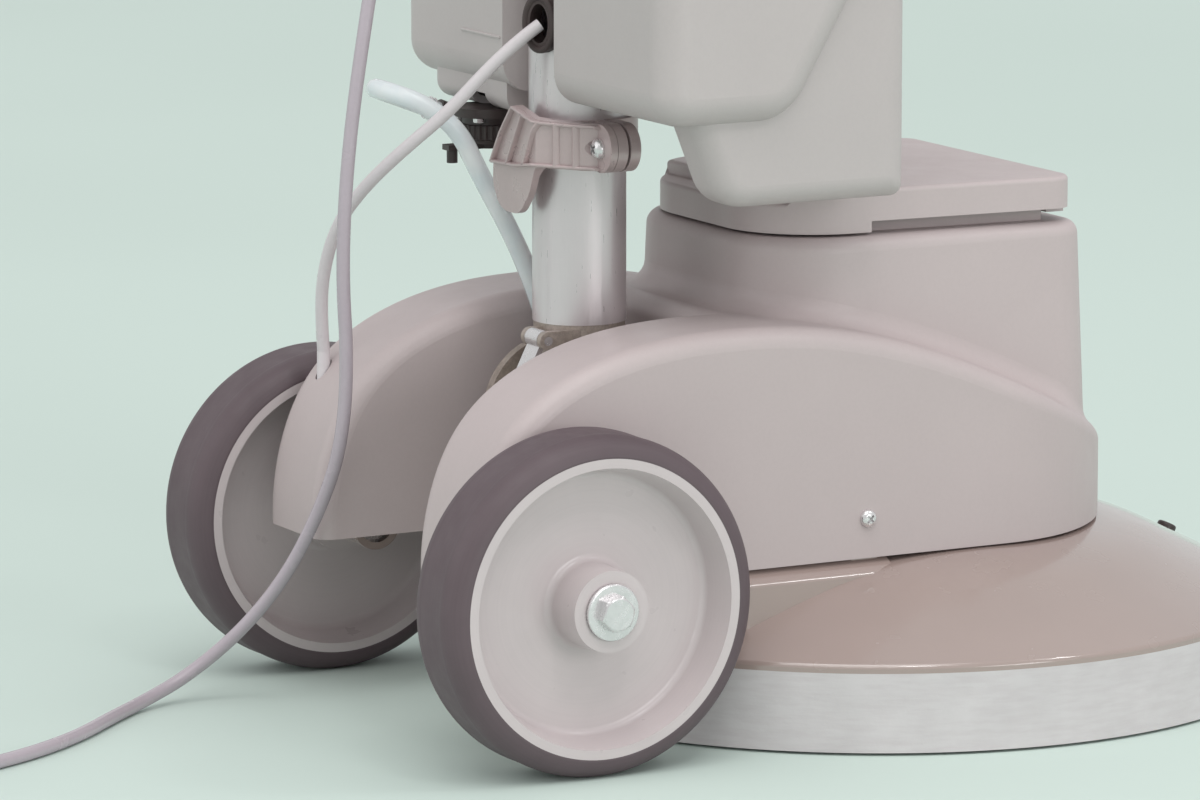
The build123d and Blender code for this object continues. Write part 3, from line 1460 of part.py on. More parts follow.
def make_coil():
    """The put-away length of the mains cord, wound on the floor, with the plug lying on it."""
    end = Vector(*mains_route[-1])
    heading = (end - Vector(*mains_route[-2])).normalized()
    side = Vector(heading.Y, -heading.X, 0)
    half = coil_turns_wide * mains_radius
    outer = coil_mid_radius + half
    centre = end + side * (outer + mains_radius + turn_gap)
    floor_z = end.Z - mains_radius
    coil_top = floor_z + 2 * mains_radius * coil_turns_high
    coil = upright_rod(outer, centre.X, centre.Y, floor_z, coil_top)
    nodes["cord_coil"] = coil - upright_rod(outer - 2 * half, centre.X, centre.Y, floor_z, coil_top)
    out = Vector(cos(radians(plug_angle)), sin(radians(plug_angle)), 0)
    along = Vector(out.Y, -out.X, 0)
    middle = Vector(centre.X, centre.Y, coil_top + plug_height / 2) + out * coil_mid_radius
    print(f"coil: centre {centre.X:.2f} {centre.Y:.2f}, plug {middle.X:.2f} {middle.Y:.2f} {middle.Z:.2f}")
    place = Plane(middle, x_dir=along, z_dir=(0, 0, 1))
    body = Box(plug_length, plug_width, plug_height)
    plug = place * fillet(body.edges(), plug_round)
    face = middle + along * (plug_length / 2)
    for offset in (-plug_pin_spacing / 2, plug_pin_spacing / 2):
        start = face + out * offset
        plug = plug + rod(plug_pin_radius, start - along * plug_round, start + along * plug_pin_length)
    back = middle - along * (plug_length / 2)
    mouth = mains_radius + relief_mouth_wall
    relief_start = back - along * plug_relief_length
    nodes["mains_plug"] = plug + tapered_rod(mouth, plug_relief_radius, relief_start, back)


make_disc()
make_bell()
for wheel_side, wheel_name in ((-1, "left"), (1, "right")):
    make_wheel(wheel_side, wheel_name)
make_axle()
make_cover()
make_lid()
make_gearbox()
make_motor()
make_bearings()
make_pivot()
make_knuckle()
make_tubes()
make_clamp()
make_tank()
make_cords()
make_coil()
make_valve()
make_head()
make_triggers()
make_hooks()

os.makedirs("parts", exist_ok=True)
for node_name, shape in nodes.items():
    export_step(shape, f"parts/{node_name}.step")
print(len(nodes), "nodes")
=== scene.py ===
import json
import math

import bmesh
import bpy
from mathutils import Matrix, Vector


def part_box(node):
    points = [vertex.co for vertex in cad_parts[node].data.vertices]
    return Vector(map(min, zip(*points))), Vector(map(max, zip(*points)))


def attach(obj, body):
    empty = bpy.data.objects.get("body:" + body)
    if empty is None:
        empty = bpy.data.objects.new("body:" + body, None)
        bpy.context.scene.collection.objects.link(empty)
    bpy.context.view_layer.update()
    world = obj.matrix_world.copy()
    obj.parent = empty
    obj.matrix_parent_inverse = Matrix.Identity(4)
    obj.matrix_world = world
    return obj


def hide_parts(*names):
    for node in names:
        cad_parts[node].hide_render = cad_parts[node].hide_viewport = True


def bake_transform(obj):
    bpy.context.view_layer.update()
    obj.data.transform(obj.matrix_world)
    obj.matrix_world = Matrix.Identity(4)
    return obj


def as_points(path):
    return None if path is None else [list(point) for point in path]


# Single-disc floor machine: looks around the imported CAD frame, in metres.

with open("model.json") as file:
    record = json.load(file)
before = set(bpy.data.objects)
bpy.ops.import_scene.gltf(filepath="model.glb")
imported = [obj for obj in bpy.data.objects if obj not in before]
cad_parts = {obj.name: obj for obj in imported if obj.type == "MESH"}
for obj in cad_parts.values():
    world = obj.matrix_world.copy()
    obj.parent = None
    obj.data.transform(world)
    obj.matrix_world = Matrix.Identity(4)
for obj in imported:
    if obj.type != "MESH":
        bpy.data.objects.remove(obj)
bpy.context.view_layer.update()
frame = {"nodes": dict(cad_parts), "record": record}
nodes = frame["nodes"]
scene = bpy.context.scene
scene.view_settings.view_transform = "Standard"

WHEEL_Y = -0.260
WHEEL_Z = 0.090
TUBE_Y = -0.181
SIDES = ((-1, "left"), (1, "right"))


# Camera, at the photograph's angle

CAMERA_PLACE = (3.3049, -1.9409, 0.8154)
CAMERA_YAW = math.radians(151.79249)
CAMERA_PITCH = math.radians(-9.83524)
CAMERA_LENS = 210.64
SENSOR_WIDTH = 36.0


def make_camera():
    level = math.cos(CAMERA_PITCH)
    look = Vector((math.cos(CAMERA_YAW) * level, math.sin(CAMERA_YAW) * level, math.sin(CAMERA_PITCH)))
    data = bpy.data.cameras.new("camera")
    data.lens = CAMERA_LENS
    data.sensor_width = SENSOR_WIDTH
    camera = bpy.data.objects.new("camera", data)
    camera.location = CAMERA_PLACE
    camera.rotation_euler = look.to_track_quat("-Z", "Y").to_euler()
    scene.collection.objects.link(camera)
    scene.camera = camera


# Materials

def linear(red, green, blue):
    """A screen colour, 0 to 255, as linear light."""
    values = []
    for channel in (red, green, blue):
        share = channel / 255
        values.append(share / 12.92 if share <= 0.04045 else ((share + 0.055) / 1.055) ** 2.4)
    return (*values, 1.0)


def scaled(colour, share):
    return (*[min(value * share, 1.0) for value in colour[:3]], 1.0)


class Paint:
    """A procedural material with helpers for its node tree."""

    def __init__(self, name, **sockets):
        self.material = bpy.data.materials.new(name)
        self.material.use_nodes = True
        self.tree = self.material.node_tree
        self.shader = self.tree.nodes["Principled BSDF"]
        for socket, value in sockets.items():
            self.shader.inputs[socket.replace("_", " ")].default_value = value
        self.place = self.add("ShaderNodeTexCoord").outputs["Object"]

    def add(self, kind, **settings):
        node = self.tree.nodes.new(kind)
        for key, value in settings.items():
            setattr(node, key, value)
        return node

    def link(self, output, target):
        self.tree.links.new(output, target)

    def stretched(self, scale, place=None):
        node = self.add("ShaderNodeMapping")
        node.inputs["Scale"].default_value = scale
        self.link(place or self.place, node.inputs["Vector"])
        return node.outputs["Vector"]

    def around_x(self, centre):
        """Coordinates that run round an X axis: along it, and outwards from it."""
        shift = self.add("ShaderNodeVectorMath", operation="SUBTRACT")
        shift.inputs[1].default_value = centre
        self.link(self.place, shift.inputs[0])
        flat = self.add("ShaderNodeVectorMath", operation="MULTIPLY")
        flat.inputs[1].default_value = (0, 1, 1)
        self.link(shift.outputs["Vector"], flat.inputs[0])
        size = self.add("ShaderNodeVectorMath", operation="LENGTH")
        self.link(flat.outputs["Vector"], size.inputs[0])
        parts = self.add("ShaderNodeSeparateXYZ")
        self.link(shift.outputs["Vector"], parts.inputs["Vector"])
        joined = self.add("ShaderNodeCombineXYZ")
        self.link(parts.outputs["X"], joined.inputs["X"])
        self.link(size.outputs["Value"], joined.inputs["Y"])
        return joined.outputs["Vector"]

    def noise(self, scale, detail=3.0, place=None, roughness=0.55):
        node = self.add("ShaderNodeTexNoise")
        node.inputs["Scale"].default_value = scale
        node.inputs["Detail"].default_value = detail
        node.inputs["Roughness"].default_value = roughness
        self.link(place or self.place, node.inputs["Vector"])
        return node.outputs["Fac"]

    def ramp(self, value, low, high, start=0.35, end=0.65):
        """A colour that goes from low to high as the value passes from start to end."""
        node = self.add("ShaderNodeValToRGB")
        node.color_ramp.elements[0].position = start
        node.color_ramp.elements[0].color = low
        node.color_ramp.elements[1].position = end
        node.color_ramp.elements[1].color = high
        self.link(value, node.inputs["Fac"])
        return node.outputs["Color"]

    def spread(self, value, low, high, start=0.3, end=0.7):
        node = self.add("ShaderNodeMapRange")
        node.inputs["From Min"].default_value = start
        node.inputs["From Max"].default_value = end
        node.inputs["To Min"].default_value = low
        node.inputs["To Max"].default_value = high
        self.link(value, node.inputs["Value"])
        return node.outputs["Result"]

    def times(self, first, second):
        node = self.add("ShaderNodeMix", data_type="RGBA", blend_type="MULTIPLY")
        node.inputs["Factor"].default_value = 1.0
        self.link(first, node.inputs["A"])
        self.link(second, node.inputs["B"])
        return node.outputs["Result"]

    def colour(self, output):
        self.link(output, self.shader.inputs["Base Color"])

    def rough(self, output):
        self.link(output, self.shader.inputs["Roughness"])

    def bump(self, *layers):
        """Height layers as (value, distance in metres), stacked."""
        normal = None
        for value, distance in layers:
            node = self.add("ShaderNodeBump")
            node.inputs["Strength"].default_value = 1.0
            node.inputs["Distance"].default_value = distance
            self.link(value, node.inputs["Height"])
            if normal is not None:
                self.link(normal, node.inputs["Normal"])
            normal = node.outputs["Normal"]
        self.link(normal, self.shader.inputs["Normal"])


def moulded(name, colour, rough, grain_scale, grain_depth, mottle, **sockets):
    """Plastic or rubber with a fine mould grain and faint clouds of colour."""
    paint = Paint(name, **sockets)
    clouds = paint.noise(9.0, 4.0)
    specks = paint.noise(420.0, 2.0)
    base = paint.ramp(clouds, scaled(colour, 1 - mottle), scaled(colour, 1 + mottle))
    dust = paint.ramp(specks, scaled((1, 1, 1), 1 - mottle * 0.6), (1, 1, 1, 1), 0.42, 0.55)
    paint.colour(paint.times(base, dust))
    paint.rough(paint.spread(paint.noise(55.0, 3.0), rough - 0.06, rough + 0.06))
    paint.bump((paint.noise(grain_scale, 3.0), grain_depth))
    return paint.material


def turned(name, colour, rough, centre, mottle, ring_depth, **sockets):
    """A moulded or turned surface with faint rings round an X axis."""
    paint = Paint(name, **sockets)
    rings = paint.noise(650.0, 2.0, paint.around_x(centre))
    clouds = paint.noise(22.0, 4.0)
    base = paint.ramp(clouds, scaled(colour, 1 - mottle), scaled(colour, 1 + mottle))
    lines = paint.ramp(rings, scaled((1, 1, 1), 1 - mottle), (1, 1, 1, 1), 0.35, 0.6)
    paint.colour(paint.times(base, lines))
    paint.rough(paint.spread(paint.noise(70.0, 3.0), rough - 0.07, rough + 0.07))
    paint.bump((rings, ring_depth), (paint.noise(900.0, 2.0), ring_depth * 0.8))
    return paint.material


def metal(name, colour, rough, grain, depth, mottle, stretch, metallic):
    """Bare or plated metal, with its grain stretched along one way."""
    paint = Paint(name, Metallic=metallic)
    lines = paint.noise(grain, 3.0, paint.stretched(stretch))
    clouds = paint.noise(30.0, 4.0)
    base = paint.ramp(clouds, scaled(colour, 1 - mottle), scaled(colour, 1 + mottle))
    streaks = paint.ramp(lines, scaled((1, 1, 1), 1 - mottle), (1, 1, 1, 1), 0.35, 0.65)
    paint.colour(paint.times(base, streaks))
    paint.rough(paint.spread(lines, rough - 0.07, rough + 0.07))
    paint.bump((lines, depth))
    return paint.material


def enamel(name, colour, rough):
    """Gloss paint over a casting."""
    paint = Paint(name, Coat_Weight=1.0, Coat_Roughness=0.1, Coat_IOR=1.65)
    clouds = paint.noise(7.0, 3.0)
    paint.colour(paint.ramp(clouds, scaled(colour, 0.96), scaled(colour, 1.04)))
    paint.rough(paint.spread(paint.noise(40.0, 3.0), rough - 0.05, rough + 0.05))
    paint.bump((paint.noise(800.0, 1.0), 0.000005))
    return paint.material


def scuffed_skirt():
    """Pale rubber with faint level scuffs, as the skirt rubs along walls."""
    colour = linear(207, 202, 203)
    paint = Paint("skirt_rubber")
    streaks = paint.noise(1.0, 4.0, paint.stretched((45, 45, 330)), 0.6)
    clouds = paint.noise(26.0, 4.0)
    base = paint.ramp(clouds, scaled(colour, 0.95), scaled(colour, 1.03))
    scuffs = paint.ramp(streaks, (0.94, 0.925, 0.93, 1), (1, 1, 1, 1), 0.36, 0.6)
    paint.colour(paint.times(base, scuffs))
    paint.rough(paint.spread(streaks, 0.55, 0.75))
    paint.bump((streaks, 0.00008), (paint.noise(500.0, 3.0), 0.00008))
    return paint.material


def scrub_fibre():
    """Open tangle of the floor pad."""
    colour = linear(150, 44, 42)
    paint = Paint("pad_fibre")
    tangle = paint.noise(380.0, 6.0, None, 0.7)
    threads = paint.noise(1.0, 4.0, paint.stretched((900, 260, 900)), 0.7)
    base = paint.ramp(tangle, scaled(colour, 0.55), scaled(colour, 1.15), 0.38, 0.62)
    paint.colour(paint.times(base, paint.ramp(threads, (0.6, 0.6, 0.6, 1), (1, 1, 1, 1))))
    paint.rough(paint.spread(tangle, 0.8, 0.98))
    paint.bump((tangle, 0.0012), (threads, 0.0006))
    return paint.material


def speckled_cast():
    """Rough die casting with pale specks."""
    colour = linear(190, 178, 170)
    paint = Paint("cast_metal", Metallic=0.6)
    specks = paint.noise(520.0, 5.0, None, 0.75)
    clouds = paint.noise(60.0, 4.0)
    base = paint.ramp(specks, scaled(colour, 0.82), scaled(colour, 1.1), 0.36, 0.62)
    paint.colour(paint.times(base, paint.ramp(clouds, (0.82, 0.8, 0.78, 1), (1, 1, 1, 1))))
    paint.rough(paint.spread(specks, 0.32, 0.55))
    paint.bump((specks, 0.00009))
    return paint.material


def clear_vinyl():
    """Soft clear hose, milky at its edges."""
    paint = Paint("hose_vinyl", Transmission_Weight=0.2, IOR=1.42, Coat_Weight=0.3)
    clouds = paint.noise(45.0, 3.0)
    paint.colour(paint.ramp(clouds, linear(238, 246, 250), linear(252, 254, 255)))
    paint.rough(paint.spread(clouds, 0.12, 0.24))
    paint.bump((paint.noise(300.0, 2.0), 0.00004))
    return paint.material


# Screen colour, roughness, grain scale, grain depth in metres, and strength of the colour clouds
MOULDED = {
    "cover_plastic": ((190, 177, 177), 0.44, 1500, 0.00002, 0.02),
    "tank_plastic": ((188, 180, 179), 0.46, 1100, 0.00003, 0.02),
    "black_plastic": ((58, 48, 47), 0.42, 1200, 0.00005, 0.10),
    "black_rubber": ((66, 54, 53), 0.6, 900, 0.00008, 0.10),
    "plate_plastic": ((96, 98, 102), 0.5, 1000, 0.00006, 0.06),
    "lead_rubber": ((216, 208, 211), 0.32, 1400, 0.00001, 0.03),
    "mains_rubber": ((184, 173, 181), 0.24, 1400, 0.00001, 0.03),
    "switch_plastic": ((178, 52, 44), 0.35, 900, 0.00003, 0.05),
}
# The same five values, then how the grain is stretched, and how metallic the surface is
METALS = {
    "tube_steel": ((222, 214, 216), 0.34, 1.0, 0.000008, 0.02, (900, 900, 60), 0.7),
    "zinc_steel": ((226, 223, 224), 0.24, 260.0, 0.000003, 0.04, (1, 1, 1), 0.75),
    "plain_steel": ((176, 176, 178), 0.3, 1.0, 0.00001, 0.05, (60, 900, 900), 1.0),
    "motor_metal": ((160, 162, 164), 0.45, 300.0, 0.00008, 0.06, (1, 1, 1), 1.0),
    "motor_core": ((92, 92, 96), 0.5, 1.0, 0.00005, 0.12, (40, 40, 1500), 1.0),
}
LEFT_WHEEL = (-0.154, WHEEL_Y, WHEEL_Z)


def make_materials():
    made = {}
    for name, (colour, *look) in MOULDED.items():
        made[name] = moulded(name, linear(*colour), *look)
    for name, (colour, *look) in METALS.items():
        made[name] = metal(name, linear(*colour), *look)
    clamp_colour = linear(192, 175, 175)
    made["clamp_paint"] = moulded("clamp_paint", clamp_colour, 0.3, 700, 0.00003, 0.03, Metallic=0.3)
    made["bell_paint"] = enamel("bell_paint", linear(160, 142, 136), 0.24)
    made["skirt_rubber"] = scuffed_skirt()
    made["tyre_rubber"] = turned("tyre_rubber", linear(94, 80, 85), 0.56, LEFT_WHEEL, 0.05, 0.00004)
    rim_gloss = {"Coat_Weight": 0.4, "Coat_Roughness": 0.12}
    rim_colour = linear(201, 190, 191)
    made["rim_plastic"] = turned("rim_plastic", rim_colour, 0.34, LEFT_WHEEL, 0.02, 0.000008, **rim_gloss)
    made["cast_metal"] = speckled_cast()
    made["pad_fibre"] = scrub_fibre()
    made["hose_vinyl"] = clear_vinyl()
    return made


# Mesh helpers

def add_mesh(name, points, faces, material, smooth=True):
    mesh = bpy.data.meshes.new(name)
    mesh.from_pydata([tuple(point) for point in points], [], faces)
    mesh.update()
    piece = bpy.data.objects.new(name, mesh)
    scene.collection.objects.link(piece)
    mesh.materials.append(material)
    if smooth:
        mesh.polygons.foreach_set("use_smooth", [True] * len(mesh.polygons))
    return piece


def lathe(name, profile, centre, axis, material, steps=96):
    """A closed ring of revolution from (radius, along) points, about an axis through a centre."""
    axis = Vector(axis).normalized()
    side = axis.orthogonal().normalized()
    up = axis.cross(side)
    centre = Vector(centre)
    count = len(profile)
    points = []
    for step in range(steps):
        angle = 2 * math.pi * step / steps
        out = side * math.cos(angle) + up * math.sin(angle)
        for radius, along in profile:
            points.append(centre + out * radius + axis * along)
    faces = []
    for step in range(steps):
        after = (step + 1) % steps
        for index in range(count):
            onward = (index + 1) % count
            faces.append((step * count + index, after * count + index,
                          after * count + onward, step * count + onward))
    piece = add_mesh(name, points, faces, material)
    tidy_normals(piece)
    return piece


def tidy_normals(piece):
    work = bmesh.new()
    work.from_mesh(piece.data)
    bmesh.ops.remove_doubles(work, verts=work.verts, dist=1e-6)
    bmesh.ops.recalc_face_normals(work, faces=work.faces)
    work.to_mesh(piece.data)
    work.free()
    piece.data.update()


def round_corners(points, radii, steps=5):
    """An outline with each corner replaced by an arc of its own radius."""
    done = []
    count = len(points)
    for index in range(count):
        corner = Vector(points[index])
        before = Vector(points[index - 1]) - corner
        after = Vector(points[(index + 1) % count]) - corner
        radius = radii[index]
        if radius <= 0:
            done.append(tuple(corner))
            continue
        half = before.angle(after) / 2
        back = min(radius / math.tan(half), before.length * 0.45, after.length * 0.45)
        start = corner + before.normalized() * back
        end = corner + after.normalized() * back
        for step in range(steps + 1):
            t = step / steps
            point = start * (1 - t) ** 2 + corner * 2 * t * (1 - t) + end * t ** 2
            done.append(tuple(point))
    return done


def bevelled(piece, width, segments=2, angle=35):
    """Round the sharp edges of a piece and keep the result in its mesh."""
    modifier = piece.modifiers.new("round", "BEVEL")
    modifier.width = width
    modifier.segments = segments
    modifier.limit_method = "ANGLE"
    modifier.angle_limit = math.radians(angle)
    apply_modifiers(piece)


def apply_modifiers(piece):
    graph = bpy.context.evaluated_depsgraph_get()
    mesh = bpy.data.meshes.new_from_object(piece.evaluated_get(graph))
    old = piece.data
    piece.modifiers.clear()
    piece.data = mesh
    bpy.data.meshes.remove(old)
    mesh.polygons.foreach_set("use_smooth", [True] * len(mesh.polygons))
    mesh.set_sharp_from_angle(angle=math.radians(40))


def prism(name, outline, low, high, place, material):
    """An outline in a plane, given depth. place turns (u, v, w) into a point in space."""
    count = len(outline)
    points = [place(u, v, low) for u, v in outline]
    points += [place(u, v, high) for u, v in outline]
    faces = [tuple(reversed(range(count))), tuple(range(count, 2 * count))]
    for index in range(count):
        after = (index + 1) % count
        faces.append((index, after, after + count, index + count))
    piece = add_mesh(name, points, faces, material)
    tidy_normals(piece)
    return piece


def seat(piece, body, slot, *replaced):
    """Settle a piece: what it rides on, and the nodes it stands for. The finish (slot) is not used."""
    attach(piece, body)
    if replaced:
        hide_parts(*replaced)


def rectangle(x0, z0, x1, z1):
    return [(x0, z0), (x1, z0), (x1, z1), (x0, z1)]


def rear_face(y):
    """Places an outline of (X, Z) points on a face that looks to the rear."""
    def place(u, v, w):
        return Vector((u, y - w, v))
    return place


# Cords and hose: the routes' points, in metres

MAINS_POINTS = [
    (-0.0400, -0.1960, 1.0470),
    (-0.0400, -0.1990, 0.9850),
    (-0.0395, -0.2080, 0.8900),
    (-0.0385, -0.2205, 0.7950),
    (-0.0370, -0.2350, 0.7000),
    (-0.0352, -0.2510, 0.6050),
    (-0.0330, -0.2690, 0.5050),
    (-0.0310, -0.2890, 0.4000),
    (-0.0300, -0.3040, 0.3150),
    (-0.0300, -0.3090, 0.2450),
    (-0.0310, -0.3050, 0.1900),
    (-0.0360, -0.3070, 0.1440),
    (-0.0510, -0.3130, 0.1080),
    (-0.0700, -0.3240, 0.0700),
    (-0.0880, -0.3430, 0.0380),
    (-0.0980, -0.3710, 0.0140),
    (-0.0910, -0.4020, 0.0038),
    (-0.0660, -0.4300, 0.0038),
    (-0.0340, -0.4630, 0.0038),
    (-0.0090, -0.4980, 0.0038),
    (0.0090, -0.5350, 0.0038),
    (0.0230, -0.5730, 0.0038),
    (0.0330, -0.6090, 0.0038),
]
LEAD_POINTS = [
    (0.0107, -0.2103, 0.3735),
    (0.0080, -0.2200, 0.3665),
    (0.0000, -0.2360, 0.3500),
    (-0.0130, -0.2530, 0.3265),
    (-0.0330, -0.2705, 0.3045),
    (-0.0560, -0.2825, 0.2825),
    (-0.0780, -0.2880, 0.2600),
    (-0.0930, -0.2890, 0.2330),
    (-0.1010, -0.2870, 0.2080),
    (-0.1040, -0.2840, 0.1860),
]
HOSE_POINTS = [
    (-0.1093, -0.2110, 0.3130),
    (-0.1098, -0.2305, 0.3210),
    (-0.1037, -0.2493, 0.3275),
    (-0.0877, -0.2609, 0.3315),
    (-0.0679, -0.2609, 0.3315),
    (-0.0519, -0.2493, 0.3265),
    (-0.0458, -0.2305, 0.3120),
    (-0.0450, -0.2175, 0.2855),
    (-0.0452, -0.1990, 0.2540),
    (-0.0458, -0.1835, 0.2210),
    (-0.0462, -0.1725, 0.1870),
    (-0.0465, -0.1670, 0.1550),
    (-0.0466, -0.1650, 0.1270),
    (-0.0465, -0.1655, 0.1020),
]
MAINS_DIAMETER = 0.0074
LEAD_DIAMETER = 0.0070
HOSE_DIAMETER = 0.0108
COIL_CENTRE = (-0.05203, -0.63262)
COIL_RADII = (0.0809, 0.07345, 0.0660, 0.05855, 0.0511)
COIL_LAYERS = 4
COIL_STEPS = 24
COIL_JOG_STEPS = 4
COIL_LAYER_STEP = 0.00745
COIL_CLIMB_BULGE = 0.0034
PLUG_ANGLE = math.radians(200.0)
PLUG_ENTRY_BACK = 0.049
PLUG_ENTRY_DEPTH = 0.012


def coil_points():
    """Turns of the put-away cord: four layers of five turns, then up to the plug on top."""
    centre_x, centre_y = COIL_CENTRE
    start_x, start_y, floor_z = MAINS_POINTS[-1]
    start_angle = math.atan2(start_y - centre_y, start_x - centre_x)
    radius = math.hypot(start_x - centre_x, start_y - centre_y)
    z = floor_z
    turns = []
    for layer in range(COIL_LAYERS):
        order = COIL_RADII if layer % 2 == 0 else tuple(reversed(COIL_RADII))
        for turn_radius in order:
            turns.append((turn_radius, floor_z + layer * COIL_LAYER_STEP))
    points = []
    step_number = 0
    for number, (turn_radius, turn_z) in enumerate(turns):
        last = number == len(turns) - 1
        steps = COIL_JOG_STEPS + 1 if last else COIL_STEPS
        climbing = turn_z > z
        for step in range(steps):
            step_number += 1
            share = min((step + 1) / COIL_JOG_STEPS, 1.0)
            now = radius + (turn_radius - radius) * share
            if climbing and share < 1:
                bulge = COIL_CLIMB_BULGE * math.sin(math.pi * share)
                now += bulge if turn_radius > COIL_RADII[2] else -bulge
            height = z + (turn_z - z) * share
            angle = start_angle - 2 * math.pi * step_number / COIL_STEPS
            points.append((centre_x + now * math.cos(angle), centre_y + now * math.sin(angle), height))
        radius = turn_radius
        z = turn_z
    return points, start_angle - 2 * math.pi * step_number / COIL_STEPS


def plug_approach(from_angle):
    """The last stretch of the cord, over the coil to the plug that lies on it."""
    low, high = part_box("mains_plug")
    axis_z = (low.z + high.z) / 2
    out = Vector((math.cos(PLUG_ANGLE), math.sin(PLUG_ANGLE), 0))
    along = Vector((out.y, -out.x, 0))
    centre = Vector((COIL_CENTRE[0], COIL_CENTRE[1], axis_z))
    entry = centre + out * COIL_RADII[2] - along * PLUG_ENTRY_BACK
    points = []
    start_z = MAINS_POINTS[-1][2] + (COIL_LAYERS - 1) * COIL_LAYER_STEP
    entry_angle = math.atan2(entry.y - centre.y, entry.x - centre.x)
    turn = (from_angle - entry_angle) % (2 * math.pi)
    radius = COIL_RADII[0]
    for share in (0.25, 0.5, 0.75):
        angle = from_angle - turn * share
        lift = share * share * (3 - 2 * share)
        height = start_z + (axis_z - start_z) * lift
        points.append((centre.x + radius * math.cos(angle), centre.y + radius * math.sin(angle), height))
    points.append(tuple(entry))
    points.append(tuple(entry + along * PLUG_ENTRY_DEPTH))
    return points


def cord_curve(name, points, resolution):
    data = bpy.data.curves.new(name, "CURVE")
    data.dimensions = "3D"
    data.resolution_u = resolution
    spline = data.splines.new("NURBS")
    spline.points.add(len(points) - 1)
    for control, point in zip(spline.points, points):
        control.co = (*point, 1.0)
    spline.order_u = 3
    spline.use_endpoint_u = True
    piece = bpy.data.objects.new(name, data)
    scene.collection.objects.link(piece)
    return piece


def cord_tube(name, points, diameter, resolution, material):
    """A mesh tube along the route's spline, and the points that it follows."""
    curve = cord_curve(name + "_line", points, resolution)
    graph = bpy.context.evaluated_depsgraph_get()
    line = bpy.data.meshes.new_from_object(curve.evaluated_get(graph))
    path = [tuple(vertex.co) for vertex in line.vertices]
    curve.data.bevel_depth = diameter / 2
    curve.data.bevel_resolution = 3
    curve.data.use_fill_caps = True
    graph = bpy.context.evaluated_depsgraph_get()
    mesh = bpy.data.meshes.new_from_object(curve.evaluated_get(graph))
    bpy.data.objects.remove(curve)
    bpy.data.meshes.remove(line)
    mesh.materials.clear()
    mesh.materials.append(material)
    mesh.polygons.foreach_set("use_smooth", [True] * len(mesh.polygons))
    piece = bpy.data.objects.new(name, mesh)
    scene.collection.objects.link(piece)
    return piece, path


def path_length(path):
    return sum((Vector(b) - Vector(a)).length for a, b in zip(path, path[1:]))


def make_cords(paint):
    turns, from_angle = coil_points()
    points = MAINS_POINTS + turns + plug_approach(from_angle)
    mains, path = cord_tube("mains_lead", points, MAINS_DIAMETER, 6, paint["mains_rubber"])
    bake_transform(mains)
    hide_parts("mains_cord", "cord_coil")
    path_length(path)
    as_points(path)
    lead, path = cord_tube("drive_lead", LEAD_POINTS, LEAD_DIAMETER, 10, paint["lead_rubber"])
    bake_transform(lead)
    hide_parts("motor_lead")
    path_length(path)
    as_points(path)
    hose, path = cord_tube("feed_hose", HOSE_POINTS, HOSE_DIAMETER, 10, paint["hose_vinyl"])
    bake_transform(hose)
    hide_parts("solution_hose")
    path_length(path)
    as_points(path)


# Fasteners

def turned_solid(name, rings, centre, axis, material, steps=72, sharp=32):
    """A solid skin through rings of (along, radius). A radius is a number or a function of the angle."""
    axis = Vector(axis).normalized()
    side = axis.orthogonal().normalized()
    up = axis.cross(side)
    centre = Vector(centre)
    points = []
    for along, radius in rings:
        for step in range(steps):
            angle = 2 * math.pi * step / steps
            size = radius(angle) if callable(radius) else radius
            out = side * math.cos(angle) + up * math.sin(angle)
            points.append(centre + axis * along + out * size)
    faces = []
    for ring in range(len(rings) - 1):
        for step in range(steps):
            after = (step + 1) % steps
            low = ring * steps
            high = low + steps
            faces.append((low + step, low + after, high + after, high + step))
    faces.append(tuple(reversed(range(steps))))
    last = (len(rings) - 1) * steps
    faces.append(tuple(range(last, last + steps)))
    piece = add_mesh(name, points, faces, material)
    tidy_normals(piece)
    piece.data.set_sharp_from_angle(angle=math.radians(sharp))
    return piece


def hex_radius(flats):
    """Distance from the middle of a hexagon to its edge, by angle."""
    def size(angle):
        part = (angle + math.pi / 6) % (math.pi / 3) - math.pi / 6
        return flats / 2 / math.cos(part)
    return size


def capped(edge, limit):
    """A radius by angle that stays within a limit."""
    def size(angle):
        return min(edge(angle), limit)
    return size


HEX_TOP_SHARE = 0.47
HEX_CORNER_SLOPE = 1.75


def hex_head(name, centre, axis, flats, height, material):
    """A hexagon head with its corners turned off at the top."""
    edge = hex_radius(flats)
    rings = [(0.0, edge)]
    top = flats * HEX_TOP_SHARE
    for share in (0.76, 0.84, 0.92):
        limit = top + (1 - share) * height * HEX_CORNER_SLOPE
        rings.append((height * share, capped(edge, limit)))
    rings.append((height, top))
    return turned_solid(name, rings, centre, axis, material, sharp=20)


def plate_washer(name, centre, axis, bore, radius, thickness, material):
    profile = [(bore, 0), (radius, 0), (radius, thickness), (bore, thickness)]
    soft = round_corners(profile, [0, 0, thickness * 0.4, thickness * 0.2], 4)
    return lathe(name, soft, centre, axis, material)


